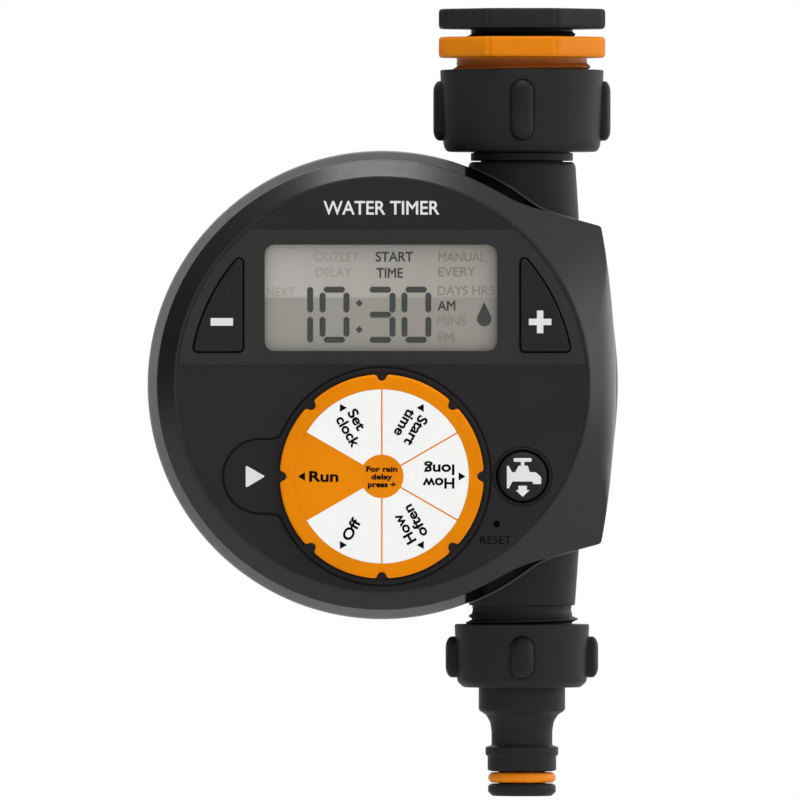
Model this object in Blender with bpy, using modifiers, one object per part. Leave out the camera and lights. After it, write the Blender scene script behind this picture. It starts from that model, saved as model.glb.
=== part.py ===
"""Hose-tap irrigation timer, in metres, +Z up, front towards -Y.

The origin is the middle of the top face of the tap adaptor, on the pipe's axis. The waterway runs
straight down Z; the round timer case sits to its left and is split into a front cover and a rear
housing. Lengths below are in millimetres and are scaled by MM where a mesh is made.
"""

import math

import bmesh
import bpy
from mathutils import Matrix, Vector

MM = 0.001
GAP = 0.3

# Case
DISC_X, DISC_Z = -33.0, -88.55
COVER_R = 52.8
REAR_R = 55.2
WING_REACH = 54.9
WING_ARC_R = 208.0
WING_TOP_SLOPE = 0.267
WING_CORNER_X, WING_CORNER_Z = 51.3, 37.35
FACE_Y = -30.0
FACE_R = 48.8
BEVEL_SLOPE = 0.87
COVER_BACK_Y = -3.3
SPLIT_Y = -3.0
BACK_Y = 30.0
WALL = 2.2
RECESS_R = 48.5
INNER_R = 47.4
RECESS_Y = -28.2
FLOOR_BACK_Y = -26.2
PANEL_R = 48.2
PANEL_Y = -29.2
BAND_Y = -30.0
BAND_BACK_Y = -29.5
BUTTON_Y = -30.6

# Pipe
CORE_R = 9.8
BORE_R = 6.5
TUBE_TOP_Z, TUBE_BOTTOM_Z = -36.0, -140.5
OUTLET_END_Z = -150.8

# Controls
BAND_TOP_Z, BAND_BOTTOM_Z = -52.2, -83.9
BAND_R = 47.7
WINDOW_X, WINDOW_Z, WINDOW_WIDTH, WINDOW_HEIGHT = -33.2, -68.15, 54.5, 24.9
WINDOW_CORNER = 2.3
MODULE_WIDTH, MODULE_HEIGHT = 60.0, 31.0
BUTTON_ARC_R = 44.9
BUTTON_EDGE = 32.6
BUTTON_BOTTOM_Z = -80.7
BUTTON_STEM, BUTTON_STEM_Z = 37.5, -75.0
KEY_GAP = 0.4
DIAL_X, DIAL_Z, DIAL_R = -33.0, -110.0, 23.9
SURROUND_R, STEM_HOLE_R, LABEL_R = 25.3, 4.2, 20.4
POINTER_X, POINTER_R = -61.5, 8.7
MANUAL_X, MANUAL_Z, MANUAL_R = 0.0, -110.0, 5.8
BEZEL_R = 7.0
RESET_X, RESET_Z = -6.1, -121.2

# Valve, on an axis that points to -X
VALVE_Z = -88.5
COIL_START, COIL_END = 24.9, 44.2

# Batteries
BAY_X, BAY_Z = -54.0, -90.0
BAY_WIDTH, BAY_HEIGHT = 34.0, 54.0
DOOR_WIDTH, DOOR_HEIGHT = 38.0, 61.0
DOOR_Z = BAY_Z + 1.5
DOOR_CORNER = 0.8
BATTERY_Y = 19.8
HINGE_Y, HINGE_Z = 28.6, DOOR_Z + DOOR_HEIGHT / 2 - 1.3

SCREWS = ((-52.0, -46.0), (-52.0, -131.1), (15.4, -61.0), (15.4, -116.1))
BOARD_POSTS = ((-40.0, -48.5), (-66.5, -112.5), (-12.0, -122.5))
BOARD_FRONT_Y = -20.0
SWITCH_BACK_Y = BOARD_FRONT_Y - GAP

TO_FRONT = (math.radians(90), 0.0, 0.0)
TO_LEFT = (0.0, math.radians(-90), 0.0)
LEFT_AXIS = dict(rotation=TO_LEFT, at=(0, 0, VALVE_Z))
THROUGH_FACE = (-35.0, -20.0)


# ---------------------------------------------------------------- set-up

for old in list(bpy.data.objects):
    bpy.data.objects.remove(old, do_unlink=True)

parts = bpy.data.collections.new("irrigation_timer")
cutters = bpy.data.collections.new("cutters")
bpy.context.scene.collection.children.link(parts)
bpy.context.scene.collection.children.link(cutters)


def linear(channel):
    """An 8-bit sRGB channel as a linear value."""
    value = channel / 255
    return value / 12.92 if value <= 0.04045 else ((value + 0.055) / 1.055) ** 2.4


def finish(obj, colour, roughness=0.5, metallic=0.0):
    """Gives a finished piece its own material and smooth shading."""
    material = bpy.data.materials.new(obj.name)
    material.use_nodes = True
    shader = material.node_tree.nodes["Principled BSDF"]
    shader.inputs["Base Color"].default_value = (*(linear(c) for c in colour), 1.0)
    shader.inputs["Roughness"].default_value = roughness
    shader.inputs["Metallic"].default_value = metallic
    obj.data.materials.clear()
    obj.data.materials.append(material)
    obj.data.shade_smooth()
    return obj


BLACK = (43, 43, 43)
SOFT_BLACK = (32, 32, 33)
ORANGE = (236, 137, 20)
GREY = (104, 105, 106)
WHITE = (240, 240, 238)
STEEL = (178, 180, 182)
BRASS = (190, 150, 80)
RED_RUBBER = (160, 60, 45)


def add(name, mesh, at=(0, 0, 0), rotation=(0, 0, 0)):
    """A new piece from a mesh, placed in millimetres."""
    obj = bpy.data.objects.new(name, mesh)
    obj.location = Vector(at) * MM
    obj.rotation_euler = rotation
    parts.objects.link(obj)
    return obj


def turned(name, profile, steps=24, at=(0, 0, 0), rotation=(0, 0, 0), ring=False):
    """A solid of revolution. The profile lists (radius, height), down its outer side."""
    bm = bmesh.new()
    verts = [bm.verts.new((r * MM, 0, h * MM)) for r, h in profile]
    for first, second in zip(verts, verts[1:]):
        bm.edges.new((first, second))
    if ring:
        bm.edges.new((verts[-1], verts[0]))
    mesh = bpy.data.meshes.new(name)
    bm.to_mesh(mesh)
    bm.free()
    obj = add(name, mesh, at, rotation)
    screw = obj.modifiers.new("Turn", "SCREW")
    screw.steps = steps
    screw.render_steps = steps
    screw.use_merge_vertices = True
    screw.merge_threshold = 0.000001
    return obj


def facing(x, z):
    """Placing options for a turned piece whose profile heights run towards the front."""
    return dict(at=(x, 0, z), rotation=TO_FRONT)


def tube(name, outer, inner, top, bottom, **how):
    """A plain ring between two heights."""
    profile = [(inner, top), (outer, top), (outer, bottom), (inner, bottom)]
    return turned(name, profile, ring=True, **how)


def rod(name, radius, top, bottom, **how):
    """A plain cylinder between two heights."""
    profile = [(0, top), (radius, top), (radius, bottom), (0, bottom)]
    return turned(name, profile, **how)


def box(name, low, high):
    """A box between two corners."""
    bm = bmesh.new()
    size = [b - a for a, b in zip(low, high)]
    middle = [(a + b) / 2 for a, b in zip(low, high)]
    bmesh.ops.create_cube(bm, size=1.0, matrix=Matrix.Diagonal((*(s * MM for s in size), 1)))
    mesh = bpy.data.meshes.new(name)
    bm.to_mesh(mesh)
    bm.free()
    return add(name, mesh, middle)


def plate(name, outlines, front, back, at=(0.0, 0.0)):
    """Flat outlines in X and Z, filled and thickened from front to back along Y."""
    curve = bpy.data.curves.new(name, "CURVE")
    curve.dimensions = "2D"
    curve.fill_mode = "BOTH"
    curve.extrude = (back - front) / 2 * MM
    for outline in outlines:
        spline = curve.splines.new("POLY")
        spline.points.add(len(outline) - 1)
        spline.use_cyclic_u = True
        for point, (x, z) in zip(spline.points, outline):
            point.co = (x * MM, z * MM, 0, 1)
    flat = add(name, curve, (at[0], (front + back) / 2, at[1]), TO_FRONT)
    return as_mesh(flat)


def as_mesh(curve_object):
    """The curve object's solid as a mesh object of the same name, with its caps welded."""
    bpy.context.view_layer.update()
    graph = bpy.context.evaluated_depsgraph_get()
    mesh = bpy.data.meshes.new_from_object(curve_object.evaluated_get(graph))
    bm = bmesh.new()
    bm.from_mesh(mesh)
    bmesh.ops.remove_doubles(bm, verts=bm.verts, dist=0.000001)
    bmesh.ops.recalc_face_normals(bm, faces=bm.faces)
    bm.to_mesh(mesh)
    bm.free()
    name, place = curve_object.name, curve_object.matrix_world.copy()
    bpy.data.objects.remove(curve_object, do_unlink=True)
    obj = bpy.data.objects.new(name, mesh)
    obj.matrix_world = place
    parts.objects.link(obj)
    return obj


def boolean(obj, other, operation):
    """A Boolean modifier whose operand is kept as a hidden guide."""
    modifier = obj.modifiers.new(other.name, "BOOLEAN")
    modifier.operation = operation
    modifier.solver = "EXACT"
    modifier.object = other
    obj.modifiers.new("Triangulate", "TRIANGULATE")
    other.hide_render = True
    other.display_type = "WIRE"
    if other.name in parts.objects:
        parts.objects.unlink(other)
        cutters.objects.link(other)
    return obj


def cut(obj, *others):
    for other in others:
        boolean(obj, other, "DIFFERENCE")
    return obj


def join(obj, *others):
    for other in others:
        boolean(obj, other, "UNION")
    return obj


# ---------------------------------------------------------------- outlines, in X and Z


def arc(x, z, radius, start, end, count):
    """Points on an arc, angles in degrees from +X towards +Z."""
    angles = [math.radians(start + (end - start) * i / (count - 1)) for i in range(count)]
    return [(x + radius * math.cos(a), z + radius * math.sin(a)) for a in angles]


def circle(x, z, radius, count=32):
    return arc(x, z, radius, 0, 360, count + 1)[:-1]


def rounded_box(x, z, width, height, radius, count=4):
    """A rectangle with round corners."""
    half_x, half_z = width / 2 - radius, height / 2 - radius
    outline = []
    for quarter, (sx, sz) in enumerate(((1, 1), (-1, 1), (-1, -1), (1, -1))):
        start = 90 * quarter
        outline += arc(x + sx * half_x, z + sz * half_z, radius, start, start + 90, count)
    return outline


def case_radius(angle, disc_r, grow):
    """The case outline's radius about the disc's centre: a circle joined to the pipe's wing."""
    angle = abs((angle + 180) % 360 - 180)
    if angle > 80:
        return disc_r + grow
    a = math.radians(angle)
    line = WING_CORNER_Z + WING_TOP_SLOPE * WING_CORNER_X
    top = line / (math.sin(a) + WING_TOP_SLOPE * math.cos(a))
    centre = WING_REACH - WING_ARC_R
    across = centre * math.cos(a)
    side = across + math.sqrt(across**2 - centre**2 + WING_ARC_R**2)
    soft = 70
    wing = (top**-soft + side**-soft) ** (-1 / soft)
    return (disc_r**soft + wing**soft) ** (1 / soft) + grow


def case_angles():
    """Angles about the disc's centre, closer together round the wing's corners."""
    upper = [11, 21, 30, 34, 36, 38.5, 42, 47, 53]
    return [-a for a in reversed(upper)] + [0] + upper + [60 + 10 * step for step in range(25)]


def case_outline(disc_r=COVER_R, grow=0.0):
    """The whole case outline in X and Z."""
    outline = []
    for angle in case_angles():
        radius = case_radius(angle, disc_r, grow)
        a = math.radians(angle)
        outline.append((DISC_X + radius * math.cos(a), DISC_Z + radius * math.sin(a)))
    return outline


def case_shell(name, rings, first_depth, last_depth):
    """A closed shell lofted through rings about the disc's centre, from its outside to its inside.

    Each ring is a radius, which may depend on the angle, and a depth, which may depend on the radius.
    """
    bm = bmesh.new()
    loops = []
    for radius_of, depth_of in rings:
        loop = []
        for angle in case_angles():
            radius = radius_of(angle) if callable(radius_of) else radius_of
            depth = depth_of(radius) if callable(depth_of) else depth_of
            a = math.radians(angle)
            x, z = DISC_X + radius * math.cos(a), DISC_Z + radius * math.sin(a)
            loop.append(bm.verts.new((x * MM, depth * MM, z * MM)))
        loops.append(loop)
    for near, far in zip(loops, loops[1:]):
        for i in range(len(near)):
            j = (i + 1) % len(near)
            bm.faces.new((near[i], near[j], far[j], far[i]))
    for loop, depth in ((loops[0], first_depth), (loops[-1], last_depth)):
        centre = bm.verts.new((DISC_X * MM, depth * MM, DISC_Z * MM))
        for i in range(len(loop)):
            bm.faces.new((loop[i], loop[(i + 1) % len(loop)], centre))
    bmesh.ops.recalc_face_normals(bm, faces=bm.faces)
    mesh = bpy.data.meshes.new(name)
    bm.to_mesh(mesh)
    bm.free()
    return add(name, mesh)


def case_edge(disc_r, grow):
    """The case outline's radius as a function of the angle."""
    return lambda angle: case_radius(angle, disc_r, grow)


def cylinders(name, posts):
    """Several cylinders along Y in one mesh. Each is (x, z, radius, front, back)."""
    bm = bmesh.new()
    for x, z, radius, front, back in posts:
        place = Matrix.Translation((x * MM, (front + back) / 2 * MM, z * MM))
        place = place @ Matrix.Rotation(math.radians(90), 4, "X")
        bmesh.ops.create_cone(
            bm,
            cap_ends=True,
            segments=14,
            radius1=radius * MM,
            radius2=radius * MM,
            depth=(back - front) * MM,
            matrix=place,
        )
    mesh = bpy.data.meshes.new(name)
    bm.to_mesh(mesh)
    bm.free()
    return add(name, mesh)


def octagon_block(name, across_flats, top, bottom):
    """A flange with eight flats, four of them square to the axes."""
    bm = bmesh.new()
    radius = across_flats / 2 / math.cos(math.radians(22.5)) * MM
    depth = (top - bottom) * MM
    turn = Matrix.Rotation(math.radians(22.5), 4, "Z")
    bmesh.ops.create_cone(
        bm, cap_ends=True, segments=8, radius1=radius, radius2=radius, depth=depth, matrix=turn
    )
    mesh = bpy.data.meshes.new(name)
    bm.to_mesh(mesh)
    bm.free()
    return add(name, mesh, (0, 0, (top + bottom) / 2))


def button_outline(side, grow=0.0):
    """The minus button's outline (side -1) or the plus button's (side +1)."""
    radius = BUTTON_ARC_R + grow
    edge = BUTTON_EDGE - grow
    bottom = BUTTON_BOTTOM_Z - grow - DISC_Z
    low = math.degrees(math.asin(bottom / radius))
    high = math.degrees(math.acos(edge / radius)) - 1.5
    outline = arc(0, 0, radius, low, high, 9)
    outline += [(edge, outline[-1][1] - 0.6), (edge, bottom)]
    return [(DISC_X + side * x, DISC_Z + z) for x, z in outline]


def dial_outline():
    """A circle with eight finger notches."""
    count, notches, depth, half_width = 64, 8, 1.5, 5.4
    outline = []
    for i in range(count):
        angle = 360 * i / count
        off = abs((angle + 22.5) % (360 / notches) - 180 / notches)
        dip = depth * (0.5 + 0.5 * math.cos(math.pi * off / half_width)) if off < half_width else 0
        a = math.radians(angle)
        outline.append(((DIAL_R - dip) * math.cos(a), (DIAL_R - dip) * math.sin(a)))
    return outline


# ---------------------------------------------------------------- inlet: adaptors, nut, tailpiece


def adaptor(name, flange, thread_r, end, bore_r, bore_end, hole_r, colour):
    """An octagonal flange with a male thread below it and a stepped bore through it."""
    top, bottom = flange
    body = octagon_block(name, 39.2, top, bottom)
    join(body, rod(name + "_thread", thread_r, bottom + 1, end))
    cut(body, rod(name + "_bore", bore_r, top + 1, bore_end, steps=24))
    cut(body, rod(name + "_hole", hole_r, bore_end + 1, end - 1, steps=24))
    return finish(body, colour, 0.42)


adaptor("black_adaptor", (0.0, -4.6), 13.0, -16.0, 10.6, -12.0, 7.0, BLACK)
adaptor("orange_adaptor", (-6.6, -11.4), 16.4, -22.4, 13.5, -18.5, 9.0, (223, 120, 25))
finish(tube("black_adaptor_washer", 10.2, 6.5, -9.7, -11.7, steps=18), RED_RUBBER, 0.8)
finish(tube("orange_adaptor_washer", 13.0, 9.2, -16.3, -18.2, steps=18), RED_RUBBER, 0.8)
finish(tube("inlet_washer", 15.3, 8.0, -22.7, -24.7, steps=18), RED_RUBBER, 0.8)

filter_profile = [(0, -23.2), (7.7, -23.2), (7.7, -24.7), (5.6, -24.7), (4.6, -33.0), (0, -33.0)]
filter_hollow = [(0, -22.0), (4.9, -22.0), (4.9, -24.7), (3.9, -32.3), (0, -32.3)]
inlet_filter = turned("inlet_filter", filter_profile, steps=16)
cut(inlet_filter, turned("filter_hollow", filter_hollow, steps=16))
finish(inlet_filter, STEEL, 0.4, 0.8)

inlet_tailpiece = turned(
    "inlet_tailpiece",
    [
        (6.0, -25.0),
        (15.4, -25.0),
        (15.4, -27.5),
        (11.4, -28.5),
        (11.4, -33.9),
        (12.05, -33.9),
        (12.05, -35.7),
        (7.6, -35.7),
        (7.6, -43.7),
        (6.0, -43.7),
    ],
    ring=True,
)
finish(inlet_tailpiece, BLACK, 0.42)


def grip_outline(width, length, grow):
    """A capsule, straight sides and round ends."""
    radius = width / 2 + grow
    half = length / 2 - width / 2
    return arc(0, half, radius, 0, 180, 7) + arc(0, -half, radius, 180, 360, 7)


def boss(name, radius, x, z, front, back):
    """One cylinder along Y."""
    return cylinders(name, [(x, z, radius, front, back)])


def gripped_nut(prefix, nut, pad_width, pad_top, pad_bottom, pad_r, pocket_r):
    """Sets four rubber grip pads into pockets around a nut."""
    length, middle = pad_top - pad_bottom, (pad_top + pad_bottom) / 2
    for step, side in enumerate(("front", "right", "back", "left")):
        turn = Matrix.Rotation(math.radians(90 * step), 4, "Z")
        pocket = plate(
            f"{prefix}_pocket_{side}", [grip_outline(pad_width, length, GAP)], -pad_r - 1, -pocket_r
        )
        pad = plate(
            f"{prefix}_grip_{side}", [grip_outline(pad_width, length, 0)], -pad_r, -pocket_r - GAP
        )
        for piece in (pocket, pad):
            piece.matrix_world = turn @ Matrix.Translation((0, 0, middle * MM)) @ piece.matrix_world
        cut(nut, pocket)
        finish(pad, SOFT_BLACK, 0.75)


inlet_nut = turned(
    "inlet_nut",
    [
        (16.9, -14.3),
        (19.3, -14.3),
        (18.6, -31.0),
        (18.3, -32.5),
        (17.6, -33.6),
        (11.8, -33.6),
        (11.8, -28.8),
        (16.9, -28.2),
    ],
    ring=True,
    steps=28,
)
gripped_nut("inlet", inlet_nut, 5.2, -16.9, -31.0, 20.9, 18.1)
finish(inlet_nut, BLACK, 0.45)


# ---------------------------------------------------------------- valve body and its valve

valve_body = turned(
    "valve_body",
    [
        (0, TUBE_TOP_Z),
        (12.0, TUBE_TOP_Z),
        (12.6, TUBE_TOP_Z - 0.8),
        (13.4, -48.5),
        (13.4, -128.0),
        (12.5, TUBE_BOTTOM_Z),
        (11.7, TUBE_BOTTOM_Z),
        (11.7, TUBE_BOTTOM_Z - 0.7),
        (13.0, TUBE_BOTTOM_Z - 0.7),
        (13.0, OUTLET_END_Z),
        (0, OUTLET_END_Z),
    ],
    steps=28,
)
sleeve = plate("collar_trim", [case_outline(REAR_R, GAP)], -20, 35)
cut(sleeve, rod("core_keep", CORE_R, TUBE_TOP_Z + 5, TUBE_BOTTOM_Z - 5))
cut(valve_body, sleeve)
join(valve_body, rod("valve_boss", 15.0, 15.0, 0.0, **LEFT_AXIS))
chamber_profile = [(0, 16.0), (12.0, 16.0), (12.0, 8.0), (5.5, 8.0), (5.5, 11.5), (0, 11.5)]
cut(valve_body, turned("valve_chamber", chamber_profile, **LEFT_AXIS))
cut(valve_body, rod("inlet_bore", BORE_R, TUBE_TOP_Z + 1, -81.5, steps=24))
cut(valve_body, rod("tailpiece_socket", 7.9, TUBE_TOP_Z + 2, -44.5, steps=24))
cut(valve_body, rod("outlet_bore", BORE_R, -85.5, OUTLET_END_Z - 1, steps=24))
cut(valve_body, rod("seat_hole", 3.8, 14.0, 0.0, steps=16, **LEFT_AXIS))
cut(valve_body, rod("inlet_port", 2.2, 10.0, 0.0, steps=12, rotation=TO_LEFT, at=(0, 0, -79.5)))
finish(valve_body, BLACK, 0.42)

diaphragm = turned(
    "diaphragm",
    [
        (0, 14.9),
        (8.4, 14.9),
        (10.6, 16.3),
        (14.2, 16.3),
        (14.2, 15.3),
        (10.9, 15.3),
        (8.7, 13.7),
        (0, 13.7),
    ],
    **LEFT_AXIS,
)
finish(diaphragm, SOFT_BLACK, 0.8)
finish(rod("diaphragm_plate", 6.6, 13.4, 11.8, steps=24, **LEFT_AXIS), WHITE, 0.5)

bonnet_profile = [(1.0, 21.0), (14.8, 21.0), (14.8, 16.6), (10.4, 16.6), (10.4, 19.6), (1.0, 19.6)]
finish(turned("valve_bonnet", bonnet_profile, ring=True, **LEFT_AXIS), WHITE, 0.5)
ring_profile = [(12.5, 22.8), (17.2, 22.8), (17.2, 10.3), (15.3, 10.3), (15.3, 21.3), (12.5, 21.3)]
finish(turned("bonnet_ring", ring_profile, ring=True, **LEFT_AXIS), BLACK, 0.45)


def spring(name, radius, wire_r, start, end, turns):
    """A coil spring along the valve's axis, from start to end."""
    curve = bpy.data.curves.new(name, "CURVE")
    curve.dimensions = "3D"
    curve.bevel_depth = wire_r * MM
    curve.bevel_resolution = 0
    curve.use_fill_caps = True
    spline = curve.splines.new("POLY")
    per_turn = 8
    count = int(turns * per_turn) + 1
    spline.points.add(count - 1)
    for i, point in enumerate(spline.points):
        a = 2 * math.pi * i / per_turn
        along = start + wire_r + (end - start - 2 * wire_r) * i / (count - 1)
        point.co = (radius * math.cos(a) * MM, radius * math.sin(a) * MM, along * MM, 1)
    return as_mesh(add(name, curve, (0, 0, VALVE_Z), TO_LEFT))


finish(spring("diaphragm_spring", 4.2, 0.3, 15.2, 19.3, 3), STEEL, 0.3, 1.0)
finish(spring("plunger_spring", 2.1, 0.25, 38.4, 44.1, 5), STEEL, 0.3, 1.0)
finish(rod("solenoid_plunger", 2.8, 38.0, 21.3, steps=20, **LEFT_AXIS), STEEL, 0.3, 1.0)

coil_profile = [
    (3.2, COIL_END),
    (8.7, COIL_END),
    (8.7, COIL_END - 1.0),
    (8.0, COIL_END - 1.0),
    (8.0, COIL_START + 1.0),
    (8.7, COIL_START + 1.0),
    (8.7, COIL_START),
    (3.2, COIL_START),
]
finish(turned("solenoid_coil", coil_profile, ring=True, **LEFT_AXIS), (150, 80, 40), 0.35, 0.6)

yoke = box("solenoid_yoke", (-46.0, -9.7, VALVE_Z - 9.7), (-23.1, 9.7, VALVE_Z + 10.5))
cut(yoke, box("yoke_window", (-44.5, -20, VALVE_Z - 12), (-24.6, 20, VALVE_Z + 9.0)))
cut(yoke, rod("yoke_hole", 3.3, 26.0, 22.0, steps=20, **LEFT_AXIS))
finish(yoke, STEEL, 0.35, 1.0)


# ---------------------------------------------------------------- outlet: nut, nipple, seals

finish(tube("outlet_washer", 12.9, 6.8, -151.1, -152.9, steps=18), RED_RUBBER, 0.8)

outlet_nut = turned(
    "outlet_nut",
    [
        (13.5, -144.9),
        (15.9, -144.9),
        (15.3, -158.0),
        (13.75, -159.8),
        (10.5, -159.8),
        (10.5, -155.6),
        (13.5, -155.5),
    ],
    ring=True,
    steps=24,
)
gripped_nut("outlet", outlet_nut, 5.4, -147.8, -157.5, 18.0, 14.9)
finish(outlet_nut, BLACK, 0.45)

hose_nipple = turned(
    "hose_nipple",
    [
        (4.2, -153.2),
        (13.1, -153.2),
        (13.1, -155.2),
        (10.2, -155.2),
        (10.2, -165.2),
        (8.5, -166.3),
        (7.5, -168.0),
        (7.2, -170.0),
        (7.17, -173.4),
        (8.6, -173.9),
        (8.6, -175.6),
        (8.1, -176.1),
        (8.1, -179.2),
        (7.1, -179.8),
        (5.4, -179.8),
        (5.4, -182.2),
        (7.1, -182.2),
        (8.0, -182.8),
        (8.0, -184.4),
        (7.0, -185.4),
        (4.2, -185.4),
    ],
    ring=True,
)
finish(hose_nipple, BLACK, 0.4)

ring_section = arc(6.9, -181.0, 1.12, 90, -270, 9)[:-1]
finish(turned("nipple_o_ring", ring_section, ring=True, steps=20), (221, 122, 28), 0.5)


# ---------------------------------------------------------------- front cover and face

def cone(start_r, start_y):
    """Depth of the cover's bevel, which runs on unbroken into the wing."""
    return lambda radius: start_y + BEVEL_SLOPE * (radius - start_r)


cover = case_shell(
    "front_cover",
    (
        (RECESS_R, RECESS_Y),
        (RECESS_R, FACE_Y),
        (FACE_R, FACE_Y),
        (case_edge(COVER_R, -0.4), cone(FACE_R, FACE_Y)),
        (case_edge(COVER_R, 0.0), cone(FACE_R, FACE_Y + 0.5)),
        (case_edge(COVER_R, 0.0), COVER_BACK_Y),
        (case_edge(COVER_R, -WALL), COVER_BACK_Y),
        (case_edge(COVER_R, -WALL), cone(INNER_R, FLOOR_BACK_Y)),
        (INNER_R, FLOOR_BACK_Y),
    ),
    RECESS_Y,
    FLOOR_BACK_Y,
)


bosses = [(x, z, 3.0, -26.8 if x < 0 else -20.5, COVER_BACK_Y - 0.2) for x, z in SCREWS]
posts = [(x, z, 2.2, -26.8, -20.4) for x, z in BOARD_POSTS]
join(cover, cylinders("cover_bosses", bosses + posts))
cut(cover, rod("cover_saddle", CORE_R + GAP, -20, -160))
module_pocket = rounded_box(WINDOW_X, WINDOW_Z, MODULE_WIDTH + 1, MODULE_HEIGHT + 1, 1)
cut(cover, plate("lcd_pocket", [module_pocket], *THROUGH_FACE))
for side in (-1, 1):
    cut(cover, plate(f"key_hole_{side}", [button_outline(side, KEY_GAP)], *THROUGH_FACE))
pilots = [(x, z, 1.6, -12, 5) for x, z in SCREWS]
holes = [(DIAL_X, DIAL_Z, STEM_HOLE_R, *THROUGH_FACE)]
holes += [(MANUAL_X, MANUAL_Z, MANUAL_R + 0.5, *THROUGH_FACE), (RESET_X, RESET_Z, 1.4, *THROUGH_FACE)]
cut(cover, cylinders("cover_holes", pilots + holes))
finish(cover, BLACK, 0.45)

panel = plate("face_panel", [circle(DISC_X, DISC_Z, PANEL_R, 48)], PANEL_Y, -28.5)
window = rounded_box(WINDOW_X, WINDOW_Z, WINDOW_WIDTH, WINDOW_HEIGHT, WINDOW_CORNER)
cut(panel, plate("panel_window", [window], *THROUGH_FACE))
for side in (-1, 1):
    cut(panel, plate(f"panel_key_hole_{side}", [button_outline(side, KEY_GAP)], *THROUGH_FACE))
cut(panel, boss("panel_dial_hole", STEM_HOLE_R, DIAL_X, DIAL_Z, *THROUGH_FACE))
cut(panel, rod("manual_hole", BEZEL_R + GAP, 35, 20, **facing(MANUAL_X, MANUAL_Z)))
cut(panel, rod("pinhole", 0.65, 35, 20, steps=10, **facing(RESET_X, RESET_Z)))
finish(panel, BLACK, 0.35)


def band_outline():
    """The part of a disc between two level lines."""
    low = math.degrees(math.asin((BAND_BOTTOM_Z - DISC_Z) / BAND_R))
    high = math.degrees(math.asin((BAND_TOP_Z - DISC_Z) / BAND_R))
    right = arc(DISC_X, DISC_Z, BAND_R, low, high, 12)
    left = arc(DISC_X, DISC_Z, BAND_R, 180 - high, 180 - low, 12)
    return right + left


band = plate("display_band", [band_outline()], BAND_Y, BAND_BACK_Y)
cut(band, plate("band_window", [window], *THROUGH_FACE))
for side in (-1, 1):
    cut(band, plate(f"band_key_hole_{side}", [button_outline(side, KEY_GAP)], *THROUGH_FACE))
finish(band, (53, 53, 53), 0.35)

lens_size = (WINDOW_WIDTH - 2 * GAP, WINDOW_HEIGHT - 2 * GAP, WINDOW_CORNER - GAP)
lens_outline = rounded_box(WINDOW_X, WINDOW_Z, *lens_size)
finish(plate("lcd_lens", [lens_outline], -29.7, -28.5), (200, 200, 195), 0.1)
module_outline = rounded_box(WINDOW_X, WINDOW_Z, MODULE_WIDTH, MODULE_HEIGHT, 0.6)
finish(plate("lcd_module", [module_outline], -28.2, -25.2), (150, 155, 145), 0.3)

surround = plate("dial_surround", [circle(DIAL_X, DIAL_Z, SURROUND_R, 40)], BAND_Y, BAND_BACK_Y)
lobe = arc(POINTER_X, DIAL_Z, POINTER_R, 90, 270, 13)
lobe += [(POINTER_X + 11.5, DIAL_Z - POINTER_R), (POINTER_X + 11.5, DIAL_Z + POINTER_R)]
join(surround, plate("pointer_lobe", [lobe], BAND_Y, BAND_BACK_Y))
cut(surround, rod("surround_hole", DIAL_R + 0.4, 35, 25, steps=40, **facing(DIAL_X, DIAL_Z)))
finish(surround, BLACK, 0.35)

bezel_place = facing(MANUAL_X, MANUAL_Z)
finish(tube("manual_bezel", BEZEL_R, MANUAL_R + GAP, 30.3, 28.5, **bezel_place), BLACK, 0.4)


# ---------------------------------------------------------------- controls that move

dial_place = dict(steps=32, **facing(DIAL_X, DIAL_Z))
dial = plate("dial_knob", [dial_outline()], -33.6, BAND_BACK_Y, at=(DIAL_X, DIAL_Z))
cut(dial, rod("label_recess", LABEL_R + GAP, 36, 32.6, **dial_place))
join(dial, boss("dial_stem", 3.5, DIAL_X, DIAL_Z, -31, -21.2))
finish(dial, ORANGE, 0.4)
finish(rod("dial_label", LABEL_R, 33.4, 32.9, **dial_place), WHITE, 0.5)

for name, side in (("minus", -1), ("plus", 1)):
    key = plate(f"{name}_button", [button_outline(side)], BUTTON_Y, -25.0)
    join(key, plate(f"{name}_flange", [button_outline(side, 1.3)], -25.8, -25.1))
    join(key, boss(f"{name}_stem", 2.0, DISC_X + side * BUTTON_STEM, BUTTON_STEM_Z, -25.4, -24.6))
    finish(key, BLACK, 0.4)

manual_profile = [
    (0, 31.1),
    (3.0, 30.9),
    (5.2, 30.3),
    (MANUAL_R, 29.6),
    (MANUAL_R, 25.8),
    (7.4, 25.8),
    (7.4, 25.0),
    (2.0, 25.0),
    (2.0, 24.6),
    (0, 24.6),
]
manual_place = dict(steps=18, **facing(MANUAL_X, MANUAL_Z))
finish(turned("manual_button", manual_profile, **manual_place), BLACK, 0.35)
reset_place = dict(steps=12, **facing(RESET_X, RESET_Z))
finish(rod("reset_button", 0.9, 26.0, 23.4, **reset_place), BLACK, 0.5)


# ---------------------------------------------------------------- electronics

board_place = dict(steps=36, **facing(DISC_X, DISC_Z))
board = rod("circuit_board", 42.0, -BOARD_FRONT_Y, -BOARD_FRONT_Y - 1.6, **board_place)
finish(board, (30, 90, 50), 0.5)


def switch(name, x, z, width, front, plunger_r, tip):
    """A switch body on the board with its plunger pointing forwards."""
    half = width / 2
    body = box(name, (x - half, front, z - half), (x + half, SWITCH_BACK_Y, z + half))
    if plunger_r:
        join(body, boss(name + "_plunger", plunger_r, x, z, tip, front + 1))
    return finish(body, (60, 60, 62), 0.4, 0.3)


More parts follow.
